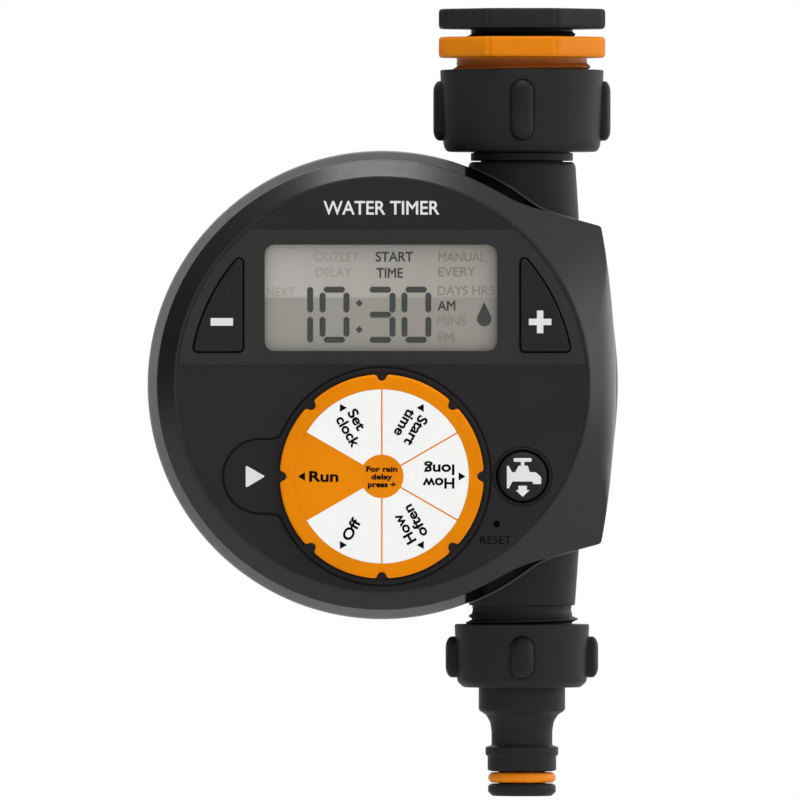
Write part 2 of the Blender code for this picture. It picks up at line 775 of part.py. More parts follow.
switch("minus_switch", DISC_X - BUTTON_STEM, BUTTON_STEM_Z, 6.0, -22.7, 1.7, -23.5)
switch("plus_switch", DISC_X + BUTTON_STEM, BUTTON_STEM_Z, 6.0, -22.7, 1.7, -23.5)
switch("manual_switch", MANUAL_X, MANUAL_Z, 6.0, -22.7, 1.7, -23.5)
switch("reset_switch", RESET_X, RESET_Z, 4.0, -22.6, 0, 0)
dial_switch = switch("dial_switch", DIAL_X, DIAL_Z, 16.0, -24.6, 0, 0)
cut(dial_switch, boss("dial_socket", 3.9, DIAL_X, DIAL_Z, -26, -20.9))


# ---------------------------------------------------------------- rear housing, door, batteries

def back_edge(y_at_rim):
    """Depth of the housing's back past its flat, falling away over the wing."""
    return lambda radius: y_at_rim - 0.35 * (radius - REAR_R)


housing = case_shell(
    "rear_housing",
    (
        (50.6, BACK_Y),
        (53.6, 28.6),
        (case_edge(REAR_R, 0.0), back_edge(26.0)),
        (case_edge(REAR_R, 0.0), SPLIT_Y),
        (case_edge(REAR_R, -4.7), SPLIT_Y),
        (case_edge(REAR_R, -4.7), SPLIT_Y + 2.0),
        (case_edge(REAR_R, -WALL), SPLIT_Y + 2.0),
        (case_edge(REAR_R, -WALL), back_edge(24.2)),
        (51.8, 26.8),
        (49.4, BACK_Y - 2.0),
    ),
    BACK_Y,
    BACK_Y - 2.0,
)
cut(housing, rod("housing_saddle", CORE_R + GAP, -20, -160))
bay_half_w, bay_half_h = BAY_WIDTH / 2, BAY_HEIGHT / 2
tub = box(
    "battery_tub",
    (BAY_X - bay_half_w - 3.4, 10.8, BAY_Z - bay_half_h - 3.4),
    (BAY_X + bay_half_w + 3.4, 28.4, BAY_Z + bay_half_h + 6.4),
)
join(housing, tub)
towers = [(x, z, 4.2, -2.6, 29.0 if x < 0 else 23.4) for x, z in SCREWS]
join(housing, cylinders("screw_towers", towers))
bay = box(
    "battery_bay",
    (BAY_X - bay_half_w, 12.0, BAY_Z - bay_half_h),
    (BAY_X + bay_half_w, 40.0, BAY_Z + bay_half_h),
)
rebate_size = (DOOR_WIDTH + 2 * GAP, DOOR_HEIGHT + 2 * GAP, DOOR_CORNER - 0.2)
rebate_outline = rounded_box(BAY_X, DOOR_Z, *rebate_size)
opening = plate("door_rebate", [rebate_outline], 27.0, 40.0)
ALONG_HINGE = dict(rotation=(0, math.radians(90), 0), at=(BAY_X, HINGE_Y, HINGE_Z))
join(opening, bay, rod("hinge_socket", 0.95, 20.0, -20.0, steps=12, **ALONG_HINGE))
cut(housing, opening)
cut(housing, cylinders("screw_holes", [(x, z, 1.8, -10, 12) for x, z in SCREWS]))
cut(housing, cylinders("screw_wells", [(x, z, 3.1, 9.7, 40) for x, z in SCREWS]))
finish(housing, GREY, 0.5)

door_outline = rounded_box(BAY_X, DOOR_Z, DOOR_WIDTH, DOOR_HEIGHT, DOOR_CORNER)
door = plate("battery_door", [door_outline], 28.4, 30.0)
cut(door, box("knuckle_room", (BAY_X - 30, 25, HINGE_Z - 0.2), (BAY_X + 30, 35, HINGE_Z + 5)))
join(door, rod("door_knuckle", 1.3, 17.0, -17.0, steps=16, **ALONG_HINGE))
join(door, rod("door_pins", 0.8, 19.8, -19.8, steps=12, **ALONG_HINGE))
finish(door, GREY, 0.5)

seal = plate(
    "battery_seal",
    [
        rounded_box(BAY_X, BAY_Z, BAY_WIDTH + 3.6, BAY_HEIGHT + 3.6, 1.5),
        rounded_box(BAY_X, BAY_Z, BAY_WIDTH + 0.8, BAY_HEIGHT + 0.8, 0.8),
    ],
    27.3,
    28.1,
)
finish(seal, SOFT_BLACK, 0.8)

for number, (x, up) in enumerate(((BAY_X - 8.3, 1), (BAY_X + 8.3, -1)), 1):
    cell = [(0, 25.2), (2.6, 25.2), (2.6, 24.0), (7.2, 24.0), (7.2, -24.6), (0, -24.6)]
    turn = (0, 0, 0) if up > 0 else (math.radians(180), 0, 0)
    battery = turned(f"battery_{number}", cell, steps=18, at=(x, BATTERY_Y, BAY_Z), rotation=turn)
    finish(battery, BRASS, 0.3, 0.8)
bridge = box("battery_bridge", (-68.0, 14.0, BAY_Z - 26.7), (-40.0, 25.5, BAY_Z - 26.1))
finish(bridge, STEEL, 0.3, 1.0)

for number, (x, z) in enumerate(SCREWS, 1):
    profile = [(0, 9.0), (1.35, 8.0), (1.35, -10.0), (2.9, -10.0), (2.9, -12.0), (0, -12.0)]
    screw = turned(f"case_screw_{number}", profile, steps=14, **facing(x, z))
    finish(screw, STEEL, 0.3, 1.0)


# ---------------------------------------------------------------- the coil's lead to the board


def catmull(a, b, c, d, t):
    """A point between b and c on the smooth curve through a, b, c and d."""
    a, b, c, d = (Vector(p) for p in (a, b, c, d))
    return 0.5 * (
        2 * b + (c - a) * t + (2 * a - 5 * b + 4 * c - d) * t**2 + (3 * b - a - 3 * c + d) * t**3
    )


def lead(name, points, radius):
    """A flexible lead along a smooth curve through its points."""
    curve = bpy.data.curves.new(name, "CURVE")
    curve.dimensions = "3D"
    curve.bevel_depth = radius * MM
    curve.bevel_resolution = 1
    curve.use_fill_caps = True
    spline = curve.splines.new("POLY")
    smooth = []
    padded = [points[0]] + list(points) + [points[-1]]
    for a, b, c, d in zip(padded, padded[1:], padded[2:], padded[3:]):
        for step in range(4):
            t = step / 4
            smooth.append(catmull(a, b, c, d, t))
    smooth.append(Vector(points[-1]))
    spline.points.add(len(smooth) - 1)
    for point, place in zip(spline.points, smooth):
        point.co = (*(place * MM), 1)
    return as_mesh(add(name, curve))


LEAD_ROUTE = (
    (-42, 0, -76.2),
    (-42, -1, -72.5),
    (-41, -6, -69.5),
    (-40, -12, -68.5),
    (-40, -17.6, -68.5),
)
finish(lead("solenoid_lead", LEAD_ROUTE, 0.9), RED_RUBBER, 0.6)
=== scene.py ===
"""The visual model of a hose-tap irrigation timer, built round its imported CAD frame.

Lengths are in millimetres and are scaled by MM where a mesh is made. Places come from the frame
where a CAD node gives them. The case's outline is drawn round its disc's centre.
"""

import math

import bmesh
import bpy
from mathutils import Matrix, Vector


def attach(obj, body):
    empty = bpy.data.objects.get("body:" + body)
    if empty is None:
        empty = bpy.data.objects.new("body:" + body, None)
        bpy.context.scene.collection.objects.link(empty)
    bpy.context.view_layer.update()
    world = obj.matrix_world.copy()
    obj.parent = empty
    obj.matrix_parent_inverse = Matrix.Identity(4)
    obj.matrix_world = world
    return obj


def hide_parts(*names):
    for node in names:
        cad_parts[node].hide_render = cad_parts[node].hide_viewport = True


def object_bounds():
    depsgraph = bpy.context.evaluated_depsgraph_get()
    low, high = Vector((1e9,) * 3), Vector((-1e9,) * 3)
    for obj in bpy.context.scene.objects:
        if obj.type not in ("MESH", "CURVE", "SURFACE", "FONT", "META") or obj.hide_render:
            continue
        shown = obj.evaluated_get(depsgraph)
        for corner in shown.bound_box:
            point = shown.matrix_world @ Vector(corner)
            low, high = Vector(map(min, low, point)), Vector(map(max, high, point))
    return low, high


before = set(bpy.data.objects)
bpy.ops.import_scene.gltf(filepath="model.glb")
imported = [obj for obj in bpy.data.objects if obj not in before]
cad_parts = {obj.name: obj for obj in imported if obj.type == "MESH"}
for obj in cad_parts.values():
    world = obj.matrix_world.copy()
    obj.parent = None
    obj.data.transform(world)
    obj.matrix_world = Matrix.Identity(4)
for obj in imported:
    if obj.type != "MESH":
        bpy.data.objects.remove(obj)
cad_box = [list(corner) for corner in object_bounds()]

MM = 0.001

# Case
DISC_X, DISC_Z = -33.0, -88.55
COVER_R, REAR_R = 52.8, 55.2
WING_REACH, WING_ARC_R = 54.9, 208.0
WING_TOP_SLOPE = 0.267
WING_CORNER_X, WING_CORNER_Z = 51.3, 37.35
WING_SHARPNESS, JOIN_SHARPNESS, SURROUND_SHARPNESS = 230, 70, 24
FACE_Y, FACE_R = -30.0, 48.8
BEVEL_SLOPE = 0.87
COVER_BACK_Y, SPLIT_Y, BACK_Y = -3.3, -3.0, 30.0
RECESS_R, RECESS_Y, FLOOR_BACK_Y, INNER_R = 48.3, -28.2, -26.2, 47.4
PANEL_R, PANEL_Y = 48.35, -29.85
BAND_R, BAND_Y, BAND_BACK_Y = 47.85, -30.0, -29.5
BAND_TOP_Z, BAND_BOTTOM_Z = -52.2, -83.9
WINDOW_X, WINDOW_Z, WINDOW_WIDTH, WINDOW_HEIGHT, WINDOW_CORNER = -33.2, -68.15, 54.5, 24.9, 2.3
KEY_ARC_R, KEY_EDGE, KEY_BOTTOM_Z, KEY_GAP = 44.9, 32.6, -80.7, 0.4
DIAL_X, DIAL_Z, DIAL_R, LABEL_R = -33.0, -110.0, 23.9, 20.4
SURROUND_R = 25.3
POINTER_X, POINTER_R = -61.5, 8.45
MANUAL_X, MANUAL_Z, MANUAL_R = 0.0, -110.0, 5.8
RESET_X, RESET_Z = -6.1, -121.2

# Pipe
CORE_R = 9.8
VALVE_Z = -88.5
TUBE_TOP_Z, TUBE_BOTTOM_Z, OUTLET_END_Z = -36.0, -140.5, -150.8
G1_PITCH, G34_PITCH = 2.309, 1.814
FLANGE_FLATS = 39.2

# Back
BAY_X, BAY_Z, BAY_WIDTH, BAY_HEIGHT = -54.0, -90.0, 34.0, 54.0
DOOR_WIDTH, DOOR_HEIGHT, DOOR_Z = 38.0, 61.0, -88.5
HINGE_Y, HINGE_Z = 28.6, DOOR_Z + 30.5 - 1.3
SCREWS = ((-52.0, -46.0), (-52.0, -131.1), (15.4, -61.0), (15.4, -116.1))

TO_FRONT = Matrix.Rotation(math.radians(90), 4, "X")
TO_LEFT = Matrix.Rotation(math.radians(-90), 4, "Y")
ON_VALVE_AXIS = Matrix.Translation((0, 0, VALVE_Z * MM)) @ TO_LEFT
THROUGH = (-35.0, -20.0)
THREAD_ROWS, THREAD_LAND, THREAD_FADE = 14, 0.18, 0.55
SMOOTH_ANGLE = math.radians(32)

# Mesh clean-up, in metres
PLATE_WELD, LETTER_WELD, SLIVER = 1e-6, 2e-7, 1e-7


# --- materials


def linear(channel):
    """An 8-bit sRGB channel as a linear value."""
    value = channel / 255
    return value / 12.92 if value <= 0.04045 else ((value + 0.055) / 1.055) ** 2.4


def rgba(colour):
    return (*(linear(c) for c in colour), 1.0)


def scaled(colour, factor, lift=0.0, most=math.inf):
    """A linear colour made paler or darker."""
    return (*(min(most, c * factor + lift) for c in colour[:3]), 1.0)


class Nodes:
    """A shader's node tree, with short ways to make its nodes."""

    def __init__(self, tree):
        self.tree = tree

    def feed(self, socket, value):
        """Links an output to a socket, or sets the socket's own value."""
        if isinstance(value, bpy.types.NodeSocket):
            self.tree.links.new(value, socket)
        else:
            socket.default_value = value

    def new(self, kind, **inputs):
        """A node. An input's name has _ for a space."""
        node = self.tree.nodes.new("ShaderNode" + kind)
        for name, value in inputs.items():
            self.feed(node.inputs[name.replace("_", " ")], value)
        return node

    def ranged(self, value, low, high, from_low=0.0, from_high=1.0):
        """A value mapped from one range to another."""
        node = self.new(
            "MapRange", Value=value, From_Min=from_low, From_Max=from_high, To_Min=low, To_Max=high
        )
        return node.outputs["Result"]

    def blended(self, factor, first, second):
        """Two colours mixed by a factor."""
        node = self.new("Mix")
        node.data_type = "RGBA"
        for socket, value in ((0, factor), (6, first), (7, second)):
            self.feed(node.inputs[socket], value)
        return node.outputs[2]

    def product(self, first, second):
        node = self.new("Math")
        node.operation = "MULTIPLY"
        self.feed(node.inputs[0], first)
        self.feed(node.inputs[1], second)
        return node.outputs["Value"]


class Look(Nodes):
    """A new material, whose textures lie in the object's own metres."""

    def __init__(self, name, specular=0.5, metallic=0.0):
        self.material = bpy.data.materials.new(name)
        self.material.use_nodes = True
        super().__init__(self.material.node_tree)
        self.sockets = self.tree.nodes["Principled BSDF"].inputs
        self.sockets["Specular IOR Level"].default_value = specular
        self.sockets["Metallic"].default_value = metallic
        self.where = self.new("TexCoord").outputs["Object"]

    def axis(self, name):
        """One of the object's own coordinates."""
        return self.new("SeparateXYZ", Vector=self.where).outputs[name]

    def noise(self, scale, detail=3.0, roughness=0.55, where=None):
        node = self.new(
            "TexNoise", Vector=where or self.where, Scale=scale, Detail=detail, Roughness=roughness
        )
        return node.outputs["Fac"]

    def done(self, colour, roughness, *layers):
        """Joins up the shader, with stacked bump layers of (height, distance in mm)."""
        self.feed(self.sockets["Base Color"], colour)
        self.feed(self.sockets["Roughness"], roughness)
        for height, distance in layers:
            bump = self.new("Bump", Distance=distance * MM, Height=height)
            for link in self.sockets["Normal"].links:
                self.feed(bump.inputs["Normal"], link.from_socket)
            self.feed(self.sockets["Normal"], bump.outputs["Normal"])
        return self.material


def moulded(
    name,
    colour,
    roughness=0.45,
    grain=0.012,
    grain_scale=4200,
    specular=0.3,
    wear=0.05,
    flow_bump=0.03,
    painted_flange_shade=None,
):
    """Moulded plastic: fine spark-eroded grain, slow flow marks, and edges rubbed a little paler. The
    colour given for below the orange flange is painted shade, where the flange shades the thread."""
    look = Look(name, specular)
    flow = look.noise(55, 4.0)
    grains = look.noise(grain_scale, 2.0, 0.6)
    edges = look.new("NewGeometry").outputs["Pointiness"]
    base = rgba(colour)
    toned = look.blended(look.ranged(flow, 0.0, 1.0, 0.35, 0.65), scaled(base, 0.9), base)
    rubbed = look.ranged(edges, 0.0, wear, 0.52, 0.62)
    worn_and_shaded = look.blended(rubbed, toned, scaled(base, 1.5, 0.03, 1.0))
    # Painted shade: below the orange flange the colour darkens, standing in for the flange's shadow.
    if painted_flange_shade:
        above = look.ranged(look.axis("Z"), 0.0, 1.0, -12.2 * MM, -11.2 * MM)
        worn_and_shaded = look.blended(above, rgba(painted_flange_shade), worn_and_shaded)
    scuffs = look.noise(320, 5.0, 0.65)
    shine = look.ranged(scuffs, roughness - 0.02, roughness + 0.03, 0.3, 0.7)
    return look.done(worn_and_shaded, shine, (grains, grain), (flow, flow_bump))


def rubber(name, colour, roughness=0.7, specular=0.25):
    """Soft rubber with a coarse pebbled skin and a little dust in its hollows."""
    look = Look(name, specular)
    cells = look.new("TexVoronoi", Vector=look.where, Scale=1500)
    blotch = look.noise(180, 4.0)
    base = rgba(colour)
    dusty = look.blended(look.ranged(blotch, 0.0, 0.6, 0.4, 0.75), base, scaled(base, 1.3, 0.004))
    shine = look.ranged(blotch, roughness - 0.06, roughness + 0.08)
    return look.done(dusty, shine, (cells.outputs["Distance"], 0.09), (blotch, 0.08))


def metal(name, colour, roughness=0.3, brushed=(1, 1, 1)):
    """Metal with fine drawn lines and slight tarnish."""
    look = Look(name, metallic=1.0)
    stretch = look.new("Mapping", Vector=look.where, Scale=brushed)
    lines = look.noise(900, 4.0, 0.7, stretch.outputs["Vector"])
    base = rgba(colour)
    tarnish = look.ranged(look.noise(260), 0.0, 0.5, 0.45, 0.8)
    shine = look.ranged(lines, roughness - 0.08, roughness + 0.14)
    return look.done(look.blended(tarnish, base, scaled(base, 0.72)), shine, (lines, 0.008))


def printed(name, colour, roughness=0.5, specular=0.1):
    """Screen-printed ink, slightly uneven."""
    look = Look(name, specular)
    patches = look.noise(2400)
    base = rgba(colour)
    ink = look.blended(look.ranged(patches, 0.0, 1.0, 0.35, 0.75), base, scaled(base, 0.93))
    return look.done(ink, look.ranged(patches, roughness - 0.05, roughness + 0.1), (patches, 0.002))


def display_material(name):
    """The display's backing: a paler upper field, a greyer lower one, both dimmer to the right, with
    painted shade along the top and right edges where the window's frame would shade it, and a fine
    grain."""
    look = Look(name, 0.05)
    across, height = look.axis("X"), look.axis("Z")
    rightward = look.ranged(across, 0.0, 1.0, -55 * MM, -12 * MM)
    above = look.blended(rightward, rgba((189, 184, 179)), rgba((171, 166, 158)))
    below = look.blended(rightward, rgba((158, 155, 148)), rgba((156, 152, 145)))
    field = look.blended(look.ranged(height, 0.0, 1.0, -68.3 * MM, -67.8 * MM), below, above)
    # Painted shade: the field darkens towards its top and right edges, as if the window's frame shaded
    # it.
    painted_shade_top = look.ranged(height, 0.0, 0.16, -60.5 * MM, -55.6 * MM)
    painted_shade_right = look.ranged(across, 0.0, 0.3, -10.5 * MM, -6.0 * MM)
    for shade_of in (painted_shade_top, painted_shade_right):
        field = look.blended(shade_of, field, rgba((92, 88, 86)))
    speckle = look.noise(5200, 2.0)
    dim = look.blended(look.ranged(speckle, 0.0, 0.12, 0.3, 0.7), field, rgba((96, 92, 88)))
    return look.done(dim, look.ranged(speckle, 0.45, 0.6), (speckle, 0.002))


def ghost_material(name):
    """Display words that are switched off: a little darker than the display's field."""
    look = Look(name, 0.0)
    rightward = look.ranged(look.axis("X"), 0.0, 1.0, -46 * MM, -16 * MM)
    tone = look.blended(rightward, rgba((164, 159, 152)), rgba((134, 130, 124)))
    uneven = look.noise(5200, 2.0)
    return look.done(tone, look.ranged(uneven, 0.5, 0.6), (uneven, 0.002))


def clear_material(name):
    """Clear acrylic over the display, with faint wipe marks."""
    look = Look(name)
    look.sockets["Alpha"].default_value = 0.03
    wipes = look.noise(90, 5.0, 0.7)
    look.material.surface_render_method = "BLENDED"
    return look.done((0.3, 0.3, 0.3, 1.0), look.ranged(wipes, 0.04, 0.16), (wipes, 0.004))


def mesh_material(name):
    """Woven steel mesh: crossed wires by two wave patterns."""
    look = Look(name, metallic=1.0)
    heights = []
    for axis in ("X", "Z"):
        wave = look.new("TexWave", Vector=look.where, Scale=600)
        wave.bands_direction = axis
        heights.append(wave.outputs["Fac"])
    woven = look.product(*heights)
    tone = look.blended(woven, rgba((70, 72, 74)), rgba((190, 192, 194)))
    return look.done(tone, look.ranged(woven, 0.5, 0.28), (woven, 0.15))


def battery_material(name, middle_z, up):
    """A battery's sleeve: a dark body and a copper band by the nub, slightly creased."""
    look = Look(name, metallic=0.6)
    edge = middle_z + 11 * up
    band = look.ranged(look.axis("Z"), 0.0, 1.0, (edge - 0.1 * up) * MM, (edge + 0.1 * up) * MM)
    creases = look.noise(140, 4.0)
    mottle = look.ranged(creases, 0.0, 1.0, 0.3, 0.7)
    body = look.blended(mottle, rgba((28, 30, 34)), rgba((40, 43, 48)))
    tone = look.blended(band, body, rgba((198, 140, 62)))
    return look.done(tone, look.ranged(creases, 0.24, 0.38), (creases, 0.03))


def board_material(name):
    """Solder mask over copper tracks."""
    look = Look(name)
    turn = look.new("Mapping", Vector=look.where, Rotation=(math.radians(90), 0, 0))
    tracks = look.new(
        "TexBrick",
        Vector=turn.outputs["Vector"],
        Scale=420,
        Mortar_Size=0.03,
        Color1=rgba((22, 78, 42)),
        Color2=rgba((24, 84, 45)),
        Mortar=rgba((44, 118, 66)),
    )
    shine = look.ranged(look.noise(500), 0.25, 0.4)
    return look.done(tracks.outputs["Color"], shine, (tracks.outputs["Fac"], 0.03))


FINE = dict(grain=0.006, grain_scale=5200, specular=0.12)
BLACK = moulded("black_plastic", (42, 42, 43), specular=0.05)
# A paler plastic for the collar's bead: painted highlight along the collar's lit edge.
BEAD_HIGHLIGHT = moulded("bead_painted_highlight", (66, 66, 67), 0.4)
COVER = moulded("cover_plastic", (16, 16, 17), 0.33, 0.008, specular=0.35, flow_bump=0.002)
FACE = moulded("face_plastic", (36, 36, 37), 0.5, **FINE)
BAND = moulded("band_plastic", (46, 46, 47), 0.5, **FINE)
KEY = moulded("key_plastic", (35, 35, 36), grain=0.008, specular=0.1)
GREY = moulded("grey_plastic", (130, 130, 130), 0.5, 0.02, 3000, wear=0.1)
# Black for painted shade: the shadow in the gap beside the collar and the dark line round the dial's
# surround.
SHADE_BLACK = moulded("painted_shade_black", (6, 6, 7), 0.6, specular=0.1)
ORANGE = moulded("orange_plastic", (231, 133, 4), grain=0.006, specular=0.03, wear=0.1)
# Its thread below the flange gets painted shade.
DEEP_ORANGE = moulded(
    "orange_ring_plastic", (230, 131, 4), 0.42, 0.008, specular=0.1, wear=0.1, painted_flange_shade=(160, 92, 34)
)
GRIP = rubber("grip_rubber", (30, 30, 31), 0.5, 0.12)
SEAL_ORANGE = rubber("seal_rubber", (232, 130, 10), 0.5, 0.15)
WASHER = rubber("washer_rubber", (150, 52, 40))
BLACK_RUBBER = rubber("black_rubber", (24, 24, 25))
WHITE_PLASTIC = moulded("white_plastic", (226, 226, 222), 0.42)
STEEL = metal("bright_steel", (188, 190, 192), 0.28)
BRUSHED = metal("brushed_steel", (176, 178, 181), 0.36, (1, 1, 14))
COPPER = metal("enamelled_winding", (160, 84, 44), 0.34, (30, 1, 1))
NICKEL = metal("nickel_plate", (196, 190, 180), 0.25, (1, 12, 1))
SWITCH = moulded("switch_plastic", (52, 52, 55), 0.4)
WHITE_INK = printed("white_ink", (226, 226, 226))
LABEL_INK = printed("label_white", (246, 246, 244), 0.45)
BLACK_PRINT = printed("black_print", (14, 12, 16), specular=0.0)
RESET_PRINT = printed("reset_print", (10, 10, 10), specular=0.0)
SEGMENT = printed("lcd_segment", (66, 70, 68), specular=0.0)
GHOST = ghost_material("lcd_ghost")
DISPLAY = display_material("lcd_backing")
CLEAR = clear_material("clear_acrylic")
MESH = mesh_material("woven_mesh")
BOARD = board_material("solder_mask")


# --- outlines


def mixed(first, second, share):
    return first + (second - first) * share


def arc(x, z, radius, start_angle, end_angle, count):
    """Points on an arc, angles in degrees from +X towards +Z."""
    step = (end_angle - start_angle) / (count - 1)
    angles = [math.radians(start_angle + step * i) for i in range(count)]
    return [(x + radius * math.cos(a), z + radius * math.sin(a)) for a in angles]


def filleted(points, steps=6):
    """An outline whose corners are arcs. A point is (a, b), or (a, b, radius) for a round corner."""
    outline = []
    for i, point in enumerate(points):
        here = Vector(point[:2])
        if len(point) == 2:
            outline.append(tuple(here))
            continue
        before = Vector(points[i - 1][:2]) - here
        after = Vector(points[(i + 1) % len(points)][:2]) - here
        half = before.angle(after) / 2
        reach = min(point[2] / math.tan(half), 0.48 * before.length, 0.48 * after.length)
        radius = reach * math.tan(half)
        middle = (before.normalized() + after.normalized()).normalized()
        centre = here + middle * (radius / math.sin(half))
        first = here + before.normalized() * reach - centre
        last = here + after.normalized() * reach - centre
        turn = math.pi - 2 * half
        if first.x * last.y - first.y * last.x < 0:
            turn = -turn
        for k in range(steps + 1):
            a = turn * k / steps
            c, s = math.cos(a), math.sin(a)
            spun = Vector((first.x * c - first.y * s, first.x * s + first.y * c))
            outline.append(tuple(centre + spun))
    return outline


def rounded_box(x, z, width, height, radius):
    """A rectangle with round corners."""
    w, h = width / 2, height / 2
    corners = [(x - w, z - h), (x + w, z - h), (x + w, z + h), (x - w, z + h)]
    return filleted([(a, b, radius) for a, b in corners])


def case_radius(angle, disc_r):
    """The case outline's radius about the disc's centre: a circle joined to the pipe's wing."""
    angle = abs((angle + 180) % 360 - 180)
    if angle > 80:
        return disc_r
    a = math.radians(angle)
    line = WING_CORNER_Z + WING_TOP_SLOPE * WING_CORNER_X
    top = line / (math.sin(a) + WING_TOP_SLOPE * math.cos(a))
    centre = WING_REACH - WING_ARC_R
    across = centre * math.cos(a)
    side = across + math.sqrt(across**2 - centre**2 + WING_ARC_R**2)
    wing = top * (1 + (top / side) ** WING_SHARPNESS) ** (-1 / WING_SHARPNESS)
    return (disc_r**JOIN_SHARPNESS + wing**JOIN_SHARPNESS) ** (1 / JOIN_SHARPNESS)


def case_angles():
    """Angles about the disc's centre, closer together round the wing's corners."""
    angles = []
    angle = -180.0
    while angle < 180:
        angles.append(angle)
        angle += 0.25 if 30 <= abs(angle) <= 46 else 1.0
    return angles


def key_outline(side, grow=0.0):
    """The minus key's outline (side -1) or the plus key's (side +1), with round corners."""
    radius, edge, soft = KEY_ARC_R + grow, KEY_EDGE - grow, 0.85 + grow
    bottom = KEY_BOTTOM_Z - grow - DISC_Z
    inner = radius - soft
    foot = (math.sqrt(inner**2 - (bottom + soft) ** 2), bottom + soft)
    peak = (edge + soft, math.sqrt(inner**2 - (edge + soft) ** 2))
    low, high = (math.degrees(math.atan2(z, x)) for x, z in (foot, peak))
    outline = arc(*foot, soft, -90, low, 9) + arc(0, 0, radius, low, high, 32)[1:-1]
    outline += arc(*peak, soft, high, 180, 12) + arc(edge + soft, bottom + soft, soft, 180, 270, 9)
    return [(DISC_X + side * x, DISC_Z + z) for x, z in outline]


def case_outline(disc_r):
    """The case outline in X and Z."""
    points = []
    for angle in case_angles():
        radius, a = case_radius(angle, disc_r), math.radians(angle)
        points.append((DISC_X + radius * math.cos(a), DISC_Z + radius * math.sin(a)))
    return points


def surround_outline(grow=0.0):
    """The dial's surround with its pointer lobe, the two joined by a soft hollow curve."""
    outline = []
    reach = DIAL_X - POINTER_X
    side, ring, soft = POINTER_R + grow, SURROUND_R + grow, SURROUND_SHARPNESS
    for i in range(720):
        angle = -180 + i / 2
        a = math.radians(abs(angle + 360 if angle < 0 else angle) - 180)
        across = abs(math.sin(a))
        lobe = 0.0
        if math.cos(a) > 0:
            straight = side / across if across > 1e-6 else 1e9
            if straight * math.cos(a) <= reach:
                lobe = straight
            else:
                lobe = reach * math.cos(a) + math.sqrt(side**2 - (reach * across) ** 2)
        radius = (ring**soft + lobe**soft) ** (1 / soft)
        b = math.radians(angle)
        outline.append((DIAL_X + radius * math.cos(b), DIAL_Z + radius * math.sin(b)))
    return outline


# --- mesh makers


def added(name, data):
    """A new object in the scene."""
    obj = bpy.data.objects.new(name, data)
    bpy.context.scene.collection.objects.link(obj)
    return obj


def evaluated(obj):
    """An object's mesh with its modifiers, or its curve's fill, applied."""
    bpy.context.view_layer.update()
    graph = bpy.context.evaluated_depsgraph_get()
    return bpy.data.meshes.new_from_object(obj.evaluated_get(graph))


def made(name, bm, material, place=None):
    """A smooth-shaded object from a bmesh."""
    bmesh.ops.recalc_face_normals(bm, faces=bm.faces)
    mesh = bpy.data.meshes.new(name)
    bm.to_mesh(mesh)
    bm.free()
    if place is not None:
        mesh.transform(place)
    mesh.materials.append(material)
    obj = added(name, mesh)
    shade(obj)
    return obj


def shade(obj):
    """Smooth shading that keeps edges sharp and flat faces flat."""
    obj.data.shade_smooth()
    obj.data.set_sharp_from_angle(angle=SMOOTH_ANGLE)
    obj.modifiers.new("Flat faces", "WEIGHTED_NORMAL").keep_sharp = True


def skin(bm, loops, closed):
    """Faces between loops of equal length, or between a loop and a point. Closed joins the last loop
    to the first."""
    pairs = list(zip(loops, loops[1:]))
    if closed:
        pairs.append((loops[-1], loops[0]))
    for near, far in pairs:
        count = max(len(near), len(far))
        for i in range(count):
            j = (i + 1) % count
            corners = [near[i % len(near)], near[j % len(near)], far[j % len(far)], far[i % len(far)]]
            corners = list(dict.fromkeys(corners))
            if len(corners) > 2:
                bm.faces.new(corners)


def turned(name, profile, material, steps=128, place=None, ring=False):
    """A solid of revolution about Z. The profile lists (radius, height); a radius may be a function
    of the angle in turns."""
    bm = bmesh.new()
    loops = []
    for radius, height in profile:
        if not callable(radius) and radius == 0:
            loops.append([bm.verts.new((0, 0, height * MM))])
            continue
        loop = []
        for i in range(steps):
            a = 2 * math.pi * i / steps
            r = radius(i / steps) if callable(radius) else radius
            loop.append(bm.verts.new((r * math.cos(a) * MM, r * math.sin(a) * MM, height * MM)))
        loops.append(loop)
    skin(bm, loops, ring)
    return made(name, bm, material, place)


def thread(size, top, bottom, clearance=0.0):
    """Profile rows of a right-hand thread: size is its root, its crest, its pitch and the height of a
    crest on the +X side. Without clearance it fades to its root at both ends. A female thread has
    clearance, fades to its full bore, and runs upwards."""
    root, crest, pitch, crest_z = size
    count = int((top - bottom) / pitch * THREAD_ROWS)
    run_out = THREAD_FADE * pitch

    def row(height):
        def radius(turn):
            phase = ((height - crest_z) / pitch - turn) % 1.0
            slope = abs(phase - 0.5) * 2
            share = min(max((slope - THREAD_LAND) / (1 - 2 * THREAD_LAND), 0), 1)
            fade = max(min(1.0, (top - height) / run_out, (height - bottom) / run_out), 0)
            share = 1 - (1 - share) * fade if clearance else share * fade
            return root + (crest - root) * share + clearance

        return radius

    heights = [top + (bottom - top) * i / count for i in range(count + 1)]
    rows = [(row(h), h) for h in heights]
    return rows[::-1] if clearance else rows


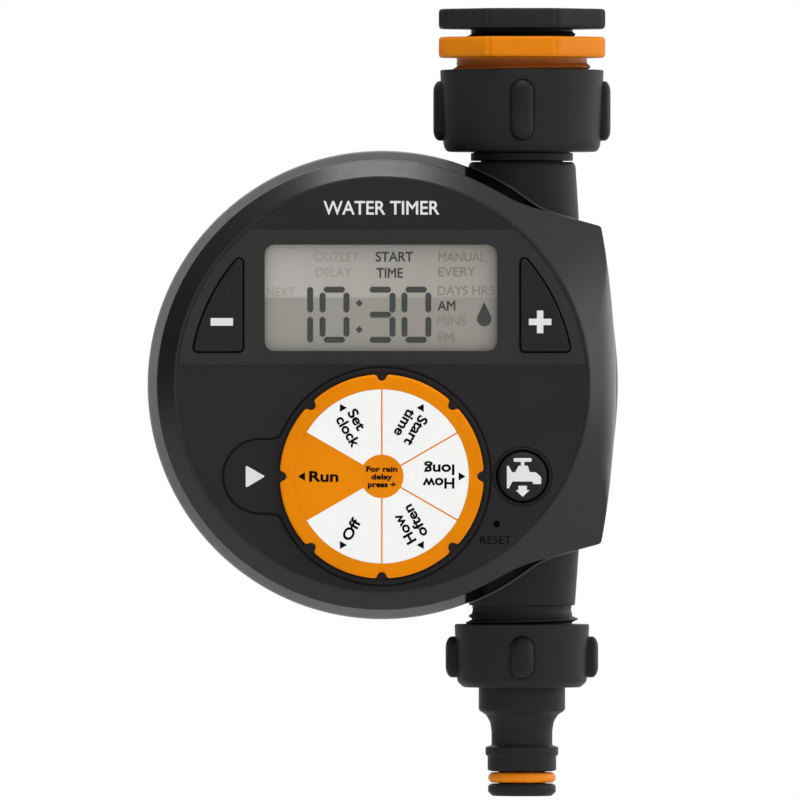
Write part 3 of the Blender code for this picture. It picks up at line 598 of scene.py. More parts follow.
def plate(name, outlines, front, back, material, soft):
    """Flat outlines in X and Z, thickened from front to back along Y, with softened edges."""
    curve = bpy.data.curves.new(name, "CURVE")
    curve.dimensions = "2D"
    curve.fill_mode = "BOTH"
    curve.extrude = ((back - front) / 2 - soft) * MM
    curve.bevel_depth = soft * MM
    curve.offset = -soft * MM
    curve.bevel_resolution = 2
    for outline in outlines:
        spline = curve.splines.new("POLY")
        spline.points.add(len(outline) - 1)
        spline.use_cyclic_u = True
        for point, (x, z) in zip(spline.points, outline):
            point.co = (x * MM, z * MM, 0, 1)
    obj = added(name, curve)
    obj.matrix_world = Matrix.Translation((0, (front + back) / 2 * MM, 0)) @ TO_FRONT
    mesh = evaluated(obj)
    mesh.transform(obj.matrix_world)
    bm = bmesh.new()
    bm.from_mesh(mesh)
    bmesh.ops.remove_doubles(bm, verts=bm.verts, dist=PLATE_WELD)
    bmesh.ops.dissolve_degenerate(bm, edges=bm.edges, dist=SLIVER)
    bpy.data.objects.remove(obj, do_unlink=True)
    bpy.data.meshes.remove(mesh)
    return made(name, bm, material)


def facing(x, z):
    """Places a turned piece whose heights run towards the front."""
    return Matrix.Translation((x * MM, 0, z * MM)) @ TO_FRONT


def rod(radius, first, last, at, steps=48):
    """A plain cylinder along Y, for cutting and for small posts."""
    profile = [(0, -first), (radius, -first), (radius, -last), (0, -last)]
    return turned("rod", profile, BLACK, steps, facing(*at))


def bore(radius, top, bottom, steps=64, place=None):
    """A plain cylinder along the pipe, or along the placed axis."""
    return turned("bore", [(0, top), (radius, top), (radius, bottom), (0, bottom)], BLACK, steps, place)


def box(low, high):
    """A box between two corners."""
    bm = bmesh.new()
    size = [(b - a) * MM for a, b in zip(low, high)]
    middle = Vector([(a + b) / 2 * MM for a, b in zip(low, high)])
    bmesh.ops.create_cube(bm, size=1.0, matrix=Matrix.Translation(middle) @ Matrix.Diagonal((*size, 1)))
    return made("box", bm, BLACK)


def punch(outline, front, back):
    """A sharp-edged plate, for cutting."""
    return plate("punch", [outline], front, back, BLACK, 0.02)


def boolean(obj, operation, others):
    """Applies Booleans at once and removes their operands."""
    for other in others:
        obj.modifiers.clear()
        other.modifiers.clear()
        modifier = obj.modifiers.new(other.name, "BOOLEAN")
        modifier.operation = operation
        modifier.solver = "EXACT"
        modifier.object = other
        mesh = evaluated(obj)
        obj.modifiers.clear()
        obj.data = mesh
        bpy.data.objects.remove(other, do_unlink=True)
    shade(obj)
    return obj


def cut(obj, *others):
    return boolean(obj, "DIFFERENCE", others)


def join(obj, *others):
    return boolean(obj, "UNION", others)


def lofted(name, rings, material):
    """A closed solid through rings of points, from one flat end to the other."""
    bm = bmesh.new()
    loops = [[bm.verts.new([c * MM for c in point]) for point in ring] for ring in rings]
    skin(bm, loops, False)
    bm.faces.new(loops[0])
    bm.faces.new(loops[-1])
    return made(name, bm, material)


def case_shell(name, rings, material):
    """A closed shell about the disc's centre, from its outside to its inside. A ring is (radius,
    depth): the radius may be a function of the angle, and the depth of both."""
    loops = []
    for radius_of, depth_of in rings:
        loop = []
        for angle in case_angles():
            radius = radius_of(angle) if callable(radius_of) else radius_of
            depth = depth_of(angle, radius) if callable(depth_of) else depth_of
            a = math.radians(angle)
            loop.append((DISC_X + radius * math.cos(a), depth, DISC_Z + radius * math.sin(a)))
        loops.append(loop)
    return lofted(name, loops, material)


def rides(piece, body="timer_body", node=None):
    """Puts a piece on a body. A piece with a node stands for that CAD node."""
    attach(piece, body)
    if node:
        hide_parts(node)
    return piece


def turned_for(node, profile, material, steps=128, place=None, ring=False, body="timer_body"):
    """A turned piece that stands for a CAD node."""
    return rides(turned(node + "_detail", profile, material, steps, place, ring), body, node)


def plate_for(node, outlines, front, back, material, soft):
    """A plate that stands for a CAD node."""
    return rides(plate(node + "_detail", outlines, front, back, material, soft), node=node)


# --- lettering and signs

PRINT_THICKNESS = 0.03


def text_mesh(text):
    """A line of text as a mesh in the built-in font's own units, one unit thick."""
    curve = bpy.data.curves.new("text", "FONT")
    curve.body = text
    curve.extrude = 0.5
    flat = added("text", curve)
    mesh = evaluated(flat)
    bpy.data.objects.remove(flat, do_unlink=True)
    return mesh


CAPITAL = max(vert.co.y for vert in text_mesh("H").vertices)


def words(name, text, x, z, width, height, front, material, bold=0.0, pivot=(0, 0), turn=0.0):
    """A line of plain lettering whose capitals start at x, z, thickened outwards by bold, and spun
    about a pivot in the face's plane."""
    mesh = text_mesh(text)
    xs = [v.co.x for v in mesh.vertices]
    size = Matrix.Diagonal((width / (max(xs) - min(xs)), height / CAPITAL, PRINT_THICKNESS, 1))
    shift = Matrix.Translation((-min(xs), 0, 0))
    mesh.transform(Matrix.Scale(MM, 4) @ Matrix.Translation((x, z, 0)) @ size @ shift)
    bm = bmesh.new()
    bm.from_mesh(mesh)
    bmesh.ops.remove_doubles(bm, verts=bm.verts, dist=LETTER_WELD)
    bmesh.ops.recalc_face_normals(bm, faces=bm.faces)
    thicken(bm, bold * MM)
    centre = Matrix.Translation(Vector((*pivot, 0)) * MM)
    spin = centre @ Matrix.Rotation(math.radians(turn), 4, "Z") @ centre.inverted()
    place = Matrix.Translation((0, (front + PRINT_THICKNESS / 2) * MM, 0)) @ TO_FRONT @ spin
    bpy.data.meshes.remove(mesh)
    return made(name, bm, material, place)


def thicken(bm, amount):
    """Moves the walls of flat letters outwards, in their own plane."""
    moves = []
    for vert in bm.verts:
        walls = [face.normal for face in vert.link_faces if abs(face.normal.z) < 0.5]
        total = sum(walls, Vector())
        if total.length > 0.001:
            mean = total / len(walls)
            moves.append((vert, mean.normalized() * amount / max(mean.length, 0.6)))
    for vert, move in moves:
        vert.co += move


def sign(name, outlines, front, material):
    """A thin printed shape."""
    return plate(name, outlines, front, front + 0.06, material, 0.01)


# --- inlet: adaptors, nut, tailpiece

FLANGE_EDGE = ((0.75, 0.0), (0.42, 0.08), (0.16, 0.3), (0.03, 0.62), (0.0, 1.0))
FLANGE_SHARPNESS = 64
FLUTE_DEPTH, FLUTE_WIDTH = 0.45, 0.55
PAD_RISE = 1.5
PAD_ARC = [math.radians(a) for a in (8, 18, 28, 38, 48, 58, 68, 79, 90)]

# Root, crest, pitch and height of a crest
TAP_THREAD = (9.2, 10.4, G34_PITCH, -1.5)
G34_THREAD = (12.0, 13.2, G34_PITCH, -5.7)
G1_THREAD = (15.35, 16.6, G1_PITCH, -13.3)
OUTLET_THREAD = (11.85, 13.2, G34_PITCH, -143.7)
SOCKET_CLEARANCE = 0.18


def octagon(inset):
    """Radius of the flange's outline, an octagon with soft corners, as a function of the turn."""
    half, soft = FLANGE_FLATS / 2 - inset, FLANGE_SHARPNESS

    def radius(turn):
        total = 0.0
        for side in range(8):
            facing_it = math.cos(2 * math.pi * (turn - side / 8))
            if facing_it > 0:
                total += (facing_it / half) ** soft
        off = ((turn * 8) % 1.0 - 0.5) * math.pi * half / 4
        return total ** (-1 / soft) - FLUTE_DEPTH * math.exp(-((off / FLUTE_WIDTH) ** 2))

    return radius


def adaptor(node, flange, male, end, female, socket, hole_r, neck, material):
    """An octagonal flange between two heights, with a male thread below it down to end, after a plain
    neck. In it is a threaded socket of a radius down to a height, with a hole below."""
    top, bottom = flange
    bore_r, bore_end = socket
    profile = [(bore_r + 0.9, top)]
    profile += [(octagon(inset), top - drop) for inset, drop in FLANGE_EDGE]
    profile += [(octagon(inset), bottom + drop) for inset, drop in reversed(FLANGE_EDGE)]
    root = male[0]
    profile += [(root + 0.5, bottom), (root + 0.1, bottom - 0.1), (root, bottom - 0.4)]
    profile += thread(male, bottom - neck, end + 1.1)
    profile += [(root, end + 0.9), (root - 0.15, end + 0.35), (root - 0.6, end), (hole_r + 0.4, end)]
    profile += [(hole_r, end + 0.4), (hole_r, bore_end), (bore_r, bore_end), (bore_r, bore_end + 1.0)]
    profile += thread(female, top - 1.2, bore_end + 1.2, SOCKET_CLEARANCE)
    profile += [(bore_r, top - 1.0), (bore_r + 0.2, top - 0.4)]
    turned_for(node, profile, material, 384, ring=True, body=node)


adaptor("black_adaptor", (0.0, -4.6), G34_THREAD, -16.0, TAP_THREAD, (10.6, -9.4), 7.0, 0.7, BLACK)
adaptor(
    "orange_adaptor", (-6.6, -11.4), G1_THREAD, -22.4, G34_THREAD, (13.5, -16.0), 9.0, 1.2, DEEP_ORANGE
)


def washer(node, body, outer, inner, top, bottom):
    """A flat seal with rounded edges and a moulding line round its rim."""
    middle = (top + bottom) / 2
    profile = [(inner, middle), (inner + 0.08, top - 0.25), (inner + 0.35, top), (outer - 0.35, top)]
    profile += [(outer - 0.08, top - 0.25), (outer - 0.05, middle + 0.08), (outer, middle)]
    profile += [(outer - 0.05, middle - 0.08), (outer - 0.08, bottom + 0.25), (outer - 0.35, bottom)]
    profile += [(inner + 0.35, bottom), (inner + 0.08, bottom + 0.25)]
    turned_for(node, profile, WASHER, 96, ring=True, body=body)


washer("black_adaptor_washer", "black_adaptor", 10.2, 6.5, -9.7, -11.7)
washer("orange_adaptor_washer", "orange_adaptor_washer", 13.0, 9.2, -16.3, -18.2)
washer("inlet_washer", "inlet_washer", 15.3, 8.0, -22.7, -24.7)
washer("outlet_washer", "outlet_washer", 12.9, 6.8, -151.1, -152.9)

filter_profile = [(0, -32.3), (3.9, -32.3), (4.9, -24.7), (4.9, -23.5), (5.2, -23.2), (7.4, -23.2)]
filter_profile += [(7.7, -23.5), (7.7, -24.4), (7.5, -24.7), (5.6, -24.7), (4.7, -32.6), (4.4, -33.0)]
filter_profile += [(0, -33.0)]
turned_for("inlet_filter", filter_profile, MESH, 96)

tailpiece_profile = [
    (6.0, -25.3), (6.3, -25.0), (15.1, -25.0), (15.4, -25.3), (15.4, -27.4), (15.2, -27.6),
    (11.6, -28.5), (11.4, -28.7), (11.4, -33.9), (11.9, -33.9), (12.05, -34.05), (12.05, -35.6),
    (11.95, -35.7), (9.7, -35.7), (9.7, -35.97), (7.6, -35.97), (7.6, -43.3), (7.2, -43.7),
    (6.3, -43.7), (6.0, -43.4),
]
turned_for("inlet_tailpiece", tailpiece_profile, BLACK, ring=True)


def capsule(width, length, grow):
    """Straight sides and round ends."""
    radius, half = width / 2 + grow, length / 2 - width / 2
    return arc(0, half, radius, 0, 180, 17) + arc(0, -half, radius, 180, 360, 17)


def grips(body, nut, width, top, bottom, pad_r, pocket_r):
    """Cuts four pockets round a nut, sets a crowned rubber pad in each, and lets all ride."""
    length, middle = top - bottom, (top + bottom) / 2
    for step, side in enumerate(("front", "right", "back", "left")):
        quarter = Matrix.Rotation(math.radians(90 * step), 4, "Z")
        spin = quarter @ Matrix.Translation((0, 0, middle * MM))
        pocket = punch(capsule(width, length, 0.22), -pad_r - 1, -pocket_r)
        pocket.data.transform(spin)
        cut(nut, pocket)
        node = body.replace("nut", f"grip_{side}")
        pad = crowned(node + "_detail", width, length, pad_r, pocket_r + 0.02)
        pad.data.transform(spin)
        rides(pad, body, node)
    rides(nut, body, body)


def crowned(name, width, length, front_r, back_r):
    """A capsule-shaped pad with a steep rim and a dome across it, from rings that step inwards."""
    rings = [(0.0, back_r), (0.0, front_r - PAD_RISE - 0.1)]
    for angle in PAD_ARC:
        inset = (width / 2 - 0.02) * (1 - math.cos(angle))
        rings.append((inset, front_r - PAD_RISE * (1 - math.sin(angle))))
    outlines = [[(x, -depth, z) for x, z in capsule(width, length, -inset)] for inset, depth in rings]
    return lofted(name, outlines, GRIP)


inlet_nut = turned(
    "inlet_nut_detail",
    [
        (17.1, -14.3), (18.9, -14.3), (19.15, -14.4), (19.27, -14.65), (18.6, -31.0), (18.5, -31.8),
        (18.3, -32.5), (18.0, -33.1), (17.6, -33.45), (17.2, -33.6), (12.1, -33.6), (11.8, -33.3),
        (11.8, -28.8), (16.9, -28.2), (16.9, -23.2),
        *thread(G1_THREAD, -14.9, -23.0, 0.22),
        (16.9, -14.7),
    ],
    BLACK,
    192,
    ring=True,
)
grips("inlet_nut", inlet_nut, 5.2, -16.9, -31.0, 20.9, 18.1)

# --- valve body and its valve

pipe = turned(
    "valve_body_detail",
    [
        (0, TUBE_TOP_Z), (11.8, TUBE_TOP_Z), (12.05, TUBE_TOP_Z - 0.1), (12.35, TUBE_TOP_Z - 0.35),
        (12.6, TUBE_TOP_Z - 0.9), (12.7, TUBE_TOP_Z - 1.5), (13.4, -48.5), (13.4, -128.0),
        (12.55, TUBE_BOTTOM_Z + 0.5), (12.45, TUBE_BOTTOM_Z + 0.15), (12.2, TUBE_BOTTOM_Z),
        (11.7, TUBE_BOTTOM_Z), (11.7, TUBE_BOTTOM_Z - 0.7), (0, TUBE_BOTTOM_Z - 0.7),
    ],
    BLACK,
    160,
)
sleeve = punch(case_outline(REAR_R + 0.04), -20, 35)
cut(sleeve, bore(CORE_R, TUBE_TOP_Z + 5, TUBE_BOTTOM_Z - 5, 96))
cut(pipe, sleeve)
join(pipe, bore(15.0, 15.0, 0.0, 96, ON_VALVE_AXIS))
chamber = [(0, 16.0), (12.0, 16.0), (12.0, 8.0), (5.5, 8.0), (5.5, 11.5), (0, 11.5)]
cut(
    pipe,
    turned("chamber", chamber, BLACK, 96, ON_VALVE_AXIS),
    bore(6.5, TUBE_TOP_Z + 1, -81.5),
    bore(7.9, TUBE_TOP_Z + 2, -44.5),
    bore(6.5, -85.5, OUTLET_END_Z - 1),
    bore(3.8, 14.0, 0.0, 48, ON_VALVE_AXIS),
    bore(2.2, 10.0, 0.0, 32, Matrix.Translation((0, 0, -79.5 * MM)) @ TO_LEFT),
)
rides(pipe, "timer_body", "valve_body")

outlet_profile = [(6.5, TUBE_BOTTOM_Z - 0.72), (11.6, TUBE_BOTTOM_Z - 0.72)]
outlet_profile += [(11.7, TUBE_BOTTOM_Z - 1.5), (11.8, TUBE_BOTTOM_Z - 1.7)]
outlet_profile += thread(OUTLET_THREAD, TUBE_BOTTOM_Z - 1.9, OUTLET_END_Z + 0.6)
outlet_profile += [(12.0, OUTLET_END_Z + 0.5), (11.6, OUTLET_END_Z), (6.9, OUTLET_END_Z)]
outlet_profile += [(6.5, OUTLET_END_Z + 0.4)]
rides(turned("outlet_thread", outlet_profile, BLACK, 192, ring=True))

BEAD_R = 0.3
COLLAR_TOP = ((TUBE_TOP_Z - 1.5, 12.7), (-48.5, 13.4))
COLLAR_BOTTOM = ((-128.0, 13.4), (TUBE_BOTTOM_Z, 12.5))


def collar_bead(name, side, top, bottom):
    """The rounded edge of the pipe's collar where the case's outline trims it, as a thin bead."""
    path = []
    for x, z in case_outline(REAR_R + 0.2):
        if abs(x) < 12.3 and (z - DISC_Z) * side > 0:
            radius = mixed(top[1], bottom[1], (top[0] - z) / (top[0] - bottom[0]))
            path.append(Vector((x, -math.sqrt(radius**2 - x**2) + 0.12, z)))
    loops = []
    for i, point in enumerate(path):
        along = (path[min(i + 1, len(path) - 1)] - path[max(i - 1, 0)]).normalized()
        out = Vector((point.x, point.y, 0)).normalized()
        out = (out - along * out.dot(along)).normalized()
        across = along.cross(out)
        turns = [math.radians(45 * k) for k in range(8)]
        loops.append([point + (out * math.cos(a) + across * math.sin(a)) * BEAD_R for a in turns])
    # The bead's paler plastic is a painted highlight.
    rides(lofted(name, loops, BEAD_HIGHLIGHT))


collar_bead("collar_bead_top", 1, *COLLAR_TOP)
collar_bead("collar_bead_bottom", -1, *COLLAR_BOTTOM)

# A cup in the diaphragm leaves its plate room to lift, and a bore in the plunger takes its spring.
diaphragm_profile = [
    (0, 15.15), (8.2, 15.15), (10.6, 16.3), (13.9, 16.3), (14.2, 16.0), (14.2, 15.6), (13.9, 15.3),
    (10.9, 15.3), (8.7, 13.7), (6.9, 13.7), (6.9, 14.95), (0, 14.95),
]
turned_for("diaphragm", diaphragm_profile, BLACK_RUBBER, 96, ON_VALVE_AXIS)
plunger_profile = [(0, 21.3), (2.5, 21.3), (2.8, 21.6), (2.8, 37.85), (2.65, 38.0), (2.5, 37.9)]
plunger_profile += [(2.5, 36.4), (0, 36.4)]
turned_for("solenoid_plunger", plunger_profile, BRUSHED, 64, ON_VALVE_AXIS, body="solenoid_plunger")

INNER_LOOKS = {
    WHITE_PLASTIC: ("diaphragm_plate", "valve_bonnet"),
    STEEL: ("diaphragm_spring", "plunger_spring"),
    BLACK: ("bonnet_ring", "reset_button"),
    BRUSHED: ("solenoid_yoke",),
    COPPER: ("solenoid_coil",),
    WASHER: ("solenoid_lead",),
    BOARD: ("circuit_board",),
    SWITCH: ("minus_switch", "plus_switch", "manual_switch", "reset_switch", "dial_switch"),
}
for material, nodes in INNER_LOOKS.items():
    for node in nodes:
        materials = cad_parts[node].data.materials
        materials.clear()
        materials.append(material)

# --- outlet: nut, nipple, seal

outlet_nut = turned(
    "outlet_nut_detail",
    [
        (13.7, -144.9), (15.5, -144.9), (15.75, -145.0), (15.87, -145.25), (15.3, -158.0),
        (15.2, -158.35), (14.9, -158.8), (14.0, -159.6), (13.6, -159.8), (10.8, -159.8),
        (10.5, -159.5), (10.5, -155.6), (13.5, -155.5), (13.5, -153.6),
        *thread(OUTLET_THREAD, -145.4, -153.2, 0.2),
        (13.5, -145.2),
    ],
    BLACK,
    192,
    ring=True,
)
grips("outlet_nut", outlet_nut, 5.4, -147.8, -157.5, 18.0, 14.9)

nipple_profile = filleted(
    [
        (4.2, -153.2, 0.3), (13.1, -153.2, 0.3), (13.1, -155.2, 0.3), (10.2, -155.2, 0.2),
        (10.2, -165.2, 0.9), (8.5, -166.3, 1.6), (7.5, -168.0, 2.5), (7.2, -170.0, 6.0),
        (7.17, -173.4, 0.4), (8.6, -173.9, 0.35), (8.6, -175.6, 0.25), (8.1, -176.1, 0.3),
        (8.1, -179.3, 0.25), (7.2, -179.6, 0.15), (5.4, -179.6, 0.3), (5.4, -182.5, 0.3),
        (7.3, -182.5, 0.15), (8.0, -183.0, 0.4), (8.0, -184.4, 0.5), (7.0, -185.4, 0.4),
        (4.2, -185.4, 0.3),
    ],
    steps=4,
)
turned_for("hose_nipple", nipple_profile, BLACK, ring=True, body="hose_nipple")
ring_section = arc(6.75, -181.05, 1.22, 90, -270, 25)[:-1]
turned_for("nipple_o_ring", ring_section, SEAL_ORANGE, 96, ring=True, body="hose_nipple")

# --- front cover and face

BEVEL_SECANT = math.sqrt(1 + BEVEL_SLOPE**2)
EDGE_STEPS = 10
SHADE_X = -13.3  # where the shadow beside the collar begins


def cone(radius, start_r=FACE_R, start_y=FACE_Y):
    """Depth of the cover's bevel, which runs on unbroken into the wing."""
    return start_y + BEVEL_SLOPE * (radius - start_r)


def edge_softness(angle):
    """Radius of the bevel's outer edge: crisp round the disc, broad down the wing's side."""
    share = min(max((31 - abs(angle)) / 14, 0), 1)
    return 0.45 + 9.5 * share * share * (3 - 2 * share)


def edge_ring(step):
    """One ring of the fillet between the bevel and the side wall."""
    lean = math.atan(BEVEL_SLOPE)
    turn = lean + (math.pi / 2 - lean) * step / EDGE_STEPS

    def radius(angle):
        return case_radius(angle, COVER_R) - edge_softness(angle) * (1 - math.sin(turn))

    def depth(angle, _):
        soft = edge_softness(angle)
        centre = cone(case_radius(angle, COVER_R) - soft) + BEVEL_SECANT * soft
        return centre - soft * math.cos(turn)

    return radius, depth


def inside(inset):
    """The cover's side wall, moved inwards."""
    return lambda angle: case_radius(angle, COVER_R) - inset


def bevel_ring(share):
    """One ring on the bevel, part of the way out to where its edge's fillet begins."""
    edge_start = edge_ring(0)[0]
    return lambda angle: mixed(FACE_R + 0.15, edge_start(angle), share), lambda _, r: cone(r)


cover = case_shell(
    "front_cover_detail",
    [
        (RECESS_R, RECESS_Y), (RECESS_R, PANEL_Y - 0.03), (RECESS_R + 0.12, FACE_Y + 0.04),
        (FACE_R - 0.1, FACE_Y + 0.02), (FACE_R + 0.15, cone(FACE_R + 0.15)),
        *[bevel_ring(share) for share in (0.25, 0.5, 0.75)],
        *[edge_ring(step) for step in range(EDGE_STEPS + 1)],
        (inside(0.0), COVER_BACK_Y - 0.3),
        (inside(0.25), COVER_BACK_Y),
        (inside(2.2), COVER_BACK_Y),
        (inside(2.2), lambda _, r: cone(r, INNER_R, FLOOR_BACK_Y)),
        (INNER_R, FLOOR_BACK_Y),
    ],
    COVER,
)

# The shadow in the gap beside the collar
for name, low, high in (("collar_shade_top", -60.0, -30.0), ("collar_shade_bottom", -146.0, -118.0)):
    gap = plate(name, [case_outline(REAR_R)], -3.6, -3.05, SHADE_BLACK, 0.02)
    boolean(gap, "INTERSECT", [box((SHADE_X, -10, low), (-CORE_R + 0.8, 10, high))])
    rides(gap)


def key_cutters():
    return [punch(key_outline(side, KEY_GAP), *THROUGH) for side in (-1, 1)]


def window_cutter():
    return punch(rounded_box(WINDOW_X, WINDOW_Z, WINDOW_WIDTH, WINDOW_HEIGHT, WINDOW_CORNER), *THROUGH)


def dial_cutter():
    return rod(DIAL_R + 0.5, *THROUGH, (DIAL_X, DIAL_Z), 160)


for x, z in SCREWS:
    join(cover, rod(3.0, -26.8 if x < 0 else -20.5, COVER_BACK_Y - 0.2, (x, z)))
for post in ((-40.0, -48.5), (-66.5, -112.5), (-12.0, -122.5)):
    join(cover, rod(2.2, -26.8, -20.4, post, 24))
cut(cover, bore(CORE_R + 0.3, -20, -160, 96))
cut(cover, punch(rounded_box(WINDOW_X, WINDOW_Z, 61, 32, 1), *THROUGH), *key_cutters())
cut(cover, *[rod(1.6, -12, 5, screw, 24) for screw in SCREWS])
cut(
    cover,
    rod(4.2, *THROUGH, (DIAL_X, DIAL_Z)),
    rod(MANUAL_R + 0.5, *THROUGH, (MANUAL_X, MANUAL_Z)),
    rod(1.4, *THROUGH, (RESET_X, RESET_Z), 24),
)
rides(cover, "timer_body", "front_cover")

disc = arc(DISC_X, DISC_Z, PANEL_R, 0, 360, 257)[:-1]
panel = plate("face_panel_detail", [disc], PANEL_Y, -28.5, FACE, 0.04)
cut(
    panel,
    window_cutter(),
    *key_cutters(),
    dial_cutter(),
    rod(7.05, *THROUGH, (MANUAL_X, MANUAL_Z), 96),
    rod(0.8, *THROUGH, (RESET_X, RESET_Z), 32),
)
rides(panel, node="face_panel")


def band_outline():
    """The part of a disc between two level lines."""
    low = math.degrees(math.asin((BAND_BOTTOM_Z - DISC_Z) / BAND_R))
    high = math.degrees(math.asin((BAND_TOP_Z - DISC_Z) / BAND_R))
    right = arc(DISC_X, DISC_Z, BAND_R, low, high, 48)
    return right + arc(DISC_X, DISC_Z, BAND_R, 180 - high, 180 - low, 48)


band = plate("display_band_detail", [band_outline()], BAND_Y, BAND_BACK_Y, BAND, 0.1)
rides(cut(band, window_cutter(), *key_cutters()), node="display_band")

lens = rounded_box(WINDOW_X, WINDOW_Z, WINDOW_WIDTH - 0.6, WINDOW_HEIGHT - 0.6, WINDOW_CORNER - 0.3)
plate_for("lcd_lens", [lens], -29.7, -28.5, CLEAR, 0.15)
module = rounded_box(WINDOW_X, WINDOW_Z, 60, 31, 0.6)
plate_for("lcd_module", [module], -28.2, -25.2, DISPLAY, 0.1)

# --- what the display shows

LCD_Y = -28.25
BAR = 1.4
LEVELS = {"a": -66.22, "g": -72.1, "d": -77.98}
UPPER, LOWER = (-66.8, -71.7), (-72.5, -77.4)
UPRIGHTS = {"f": (0.7, UPPER), "b": (6.3, UPPER), "e": (0.7, LOWER), "c": (6.3, LOWER)}


def bar(x, z, long, upright=False):
    """One bar of a figure, a long hexagon with soft points, from its middle and its length."""
    half, point = long / 2, 0.5
    outline = [(-half, 0, 0.25), (-half + point, -BAR / 2, 0.3), (half - point, -BAR / 2, 0.3)]
    outline += [(half, 0, 0.25), (half - point, BAR / 2, 0.3), (-half + point, BAR / 2, 0.3)]
    outline = filleted(outline, steps=3)
    return [(x - b, z + a) if upright else (x + a, z + b) for a, b in outline]


def figure_bars(letters, x):
    """The bars of a figure whose left edge is at x."""
    bars = [bar(x + 3.45, LEVELS[k], 5.2) for k in letters if k in LEVELS]
    for k in letters:
        if k in UPRIGHTS:
            across, (high, low) = UPRIGHTS[k]
            bars.append(bar(x + across, (high + low) / 2, high - low, True))
    return bars


def diamond(x, z, reach):
    return [(x + reach, z), (x, z + reach), (x - reach, z), (x, z - reach)]


def droplet(x, tip_z, round_z, radius):
    """A drop of water: a circle drawn out to a point."""
    lift = tip_z - round_z
    side = math.degrees(math.acos(radius / lift))
    return [(x, tip_z)] + arc(x, round_z, radius, 90 + side, 450 - side, 30)


shown = figure_bars("abcdef", -47.6) + figure_bars("abcdg", -36.8) + figure_bars("abcdef", -28.4)
shown += [bar(-49.8, z, 6.2, True) for z in (-68.6, -75.6)]
shown += [diamond(-38.3, z, 0.86) for z in (-69.4, -75.6)]
shown.append(droplet(-9.0, -69.1, -73.1, 1.7))
rides(sign("lcd_figures", shown, LCD_Y, SEGMENT))

LCD_WORDS = (
    ("START", -34.4, -59.6, 8.7, 2.2, SEGMENT),
    ("TIME", -34.2, -63.4, 6.1, 2.2, SEGMENT),
    ("AM", -19.9, -71.1, 4.1, 2.2, SEGMENT),
    ("OUTLET", -48.8, -59.6, 10.4, 2.1, GHOST),
    ("DELAY", -48.4, -63.2, 8.4, 2.1, GHOST),
    ("NEXT", -59.9, -67.8, 6.5, 2.1, GHOST),
    ("MANUAL", -19.7, -59.6, 11.0, 2.1, GHOST),
    ("EVERY", -19.7, -63.1, 8.7, 2.1, GHOST),
    ("DAYS HRS", -19.9, -67.5, 13.2, 2.1, GHOST),
    ("MINS", -20.0, -74.6, 6.7, 2.1, GHOST),
    ("PM", -19.9, -78.4, 3.7, 2.1, GHOST),
)
for i, (text, x, z, width, height, ink) in enumerate(LCD_WORDS, 1):
    bold = 0.06 if ink is SEGMENT else 0.02
    word = words(f"lcd_word_{i}", text, x, z, width, height, LCD_Y, ink, bold)
    rides(word)

# --- dial, its label and its surround

# A thin black ring round the surround is painted shade for the gap between it and the panel.
groove = plate("surround_groove_shadow", [surround_outline(0.55)], PANEL_Y - 0.06, PANEL_Y, SHADE_BLACK, 0.02)
rides(cut(groove, dial_cutter()))
surround = plate("dial_surround_detail", [surround_outline()], BAND_Y, BAND_BACK_Y, KEY, 0.14)
rides(cut(surround, dial_cutter()), node="dial_surround")

pointer = filleted([(-64.9, -107.4, 0.25), (-64.9, -112.7, 0.25), (-60.3, DIAL_Z, 0.25)])
rides(sign("dial_pointer", [pointer], BAND_Y - 0.05, WHITE_INK))


def dial_side(inset):
    """Radius of the knob's side, with eight finger notches, as a function of the turn."""
    notches, lip, cup, flare = 8, 0.4, 1.1, 0.8

    def radius(turn):
        off = abs((turn * notches + 0.5) % 1.0 - 0.5) * 2 * math.pi * DIAL_R / notches
        if off < cup:
            dip = lip + math.sqrt(cup**2 - off**2)
        else:
            dip = lip * max(1 - (off - cup) / flare, 0) ** 2
        return DIAL_R - inset - dip

    return radius


knob_profile = [
    (0, 32.6), (LABEL_R + 0.02, 32.6), (LABEL_R + 0.02, 33.58), (LABEL_R + 0.04, 33.6),
    (dial_side(0.75), 33.6), (dial_side(0.45), 33.55), (dial_side(0.2), 33.4),
    (dial_side(0.05), 33.15), (dial_side(0.0), 32.8), (dial_side(0.0), 29.7),
    (dial_side(0.15), 29.5), (3.5, 29.5), (3.5, 21.6), (3.1, 21.2), (0, 21.2),
]
dial_place = facing(DIAL_X, DIAL_Z)
turned_for("dial_knob", knob_profile, ORANGE, 480, dial_place, body="dial")
label_profile = [(0, 33.58), (LABEL_R - 0.03, 33.58), (LABEL_R, 33.55), (LABEL_R, 32.9), (0, 32.9)]
turned_for("dial_label", label_profile, ORANGE, 160, dial_place, body="dial")

LABEL_Y = -33.58
HUB_R, DIVIDER = 5.1, 0.18


def sector(angle, inner, outer, gap):
    """A sixth of a ring about a direction in degrees, with straight gaps between neighbours."""

    def trim(radius):
        return 30 - math.degrees(math.asin(gap / radius))

    rim = arc(DIAL_X, DIAL_Z, outer, angle - trim(outer), angle + trim(outer), 40)
    hub = arc(DIAL_X, DIAL_Z, inner, angle + trim(inner), angle - trim(inner), 16)
    return rim + hub


fields = [sector(angle, HUB_R, LABEL_R - 0.02, DIVIDER) for angle in (0, 60, 120, 240, 300)]
rides(sign("label_fields", fields, LABEL_Y - 0.03, LABEL_INK), "dial")

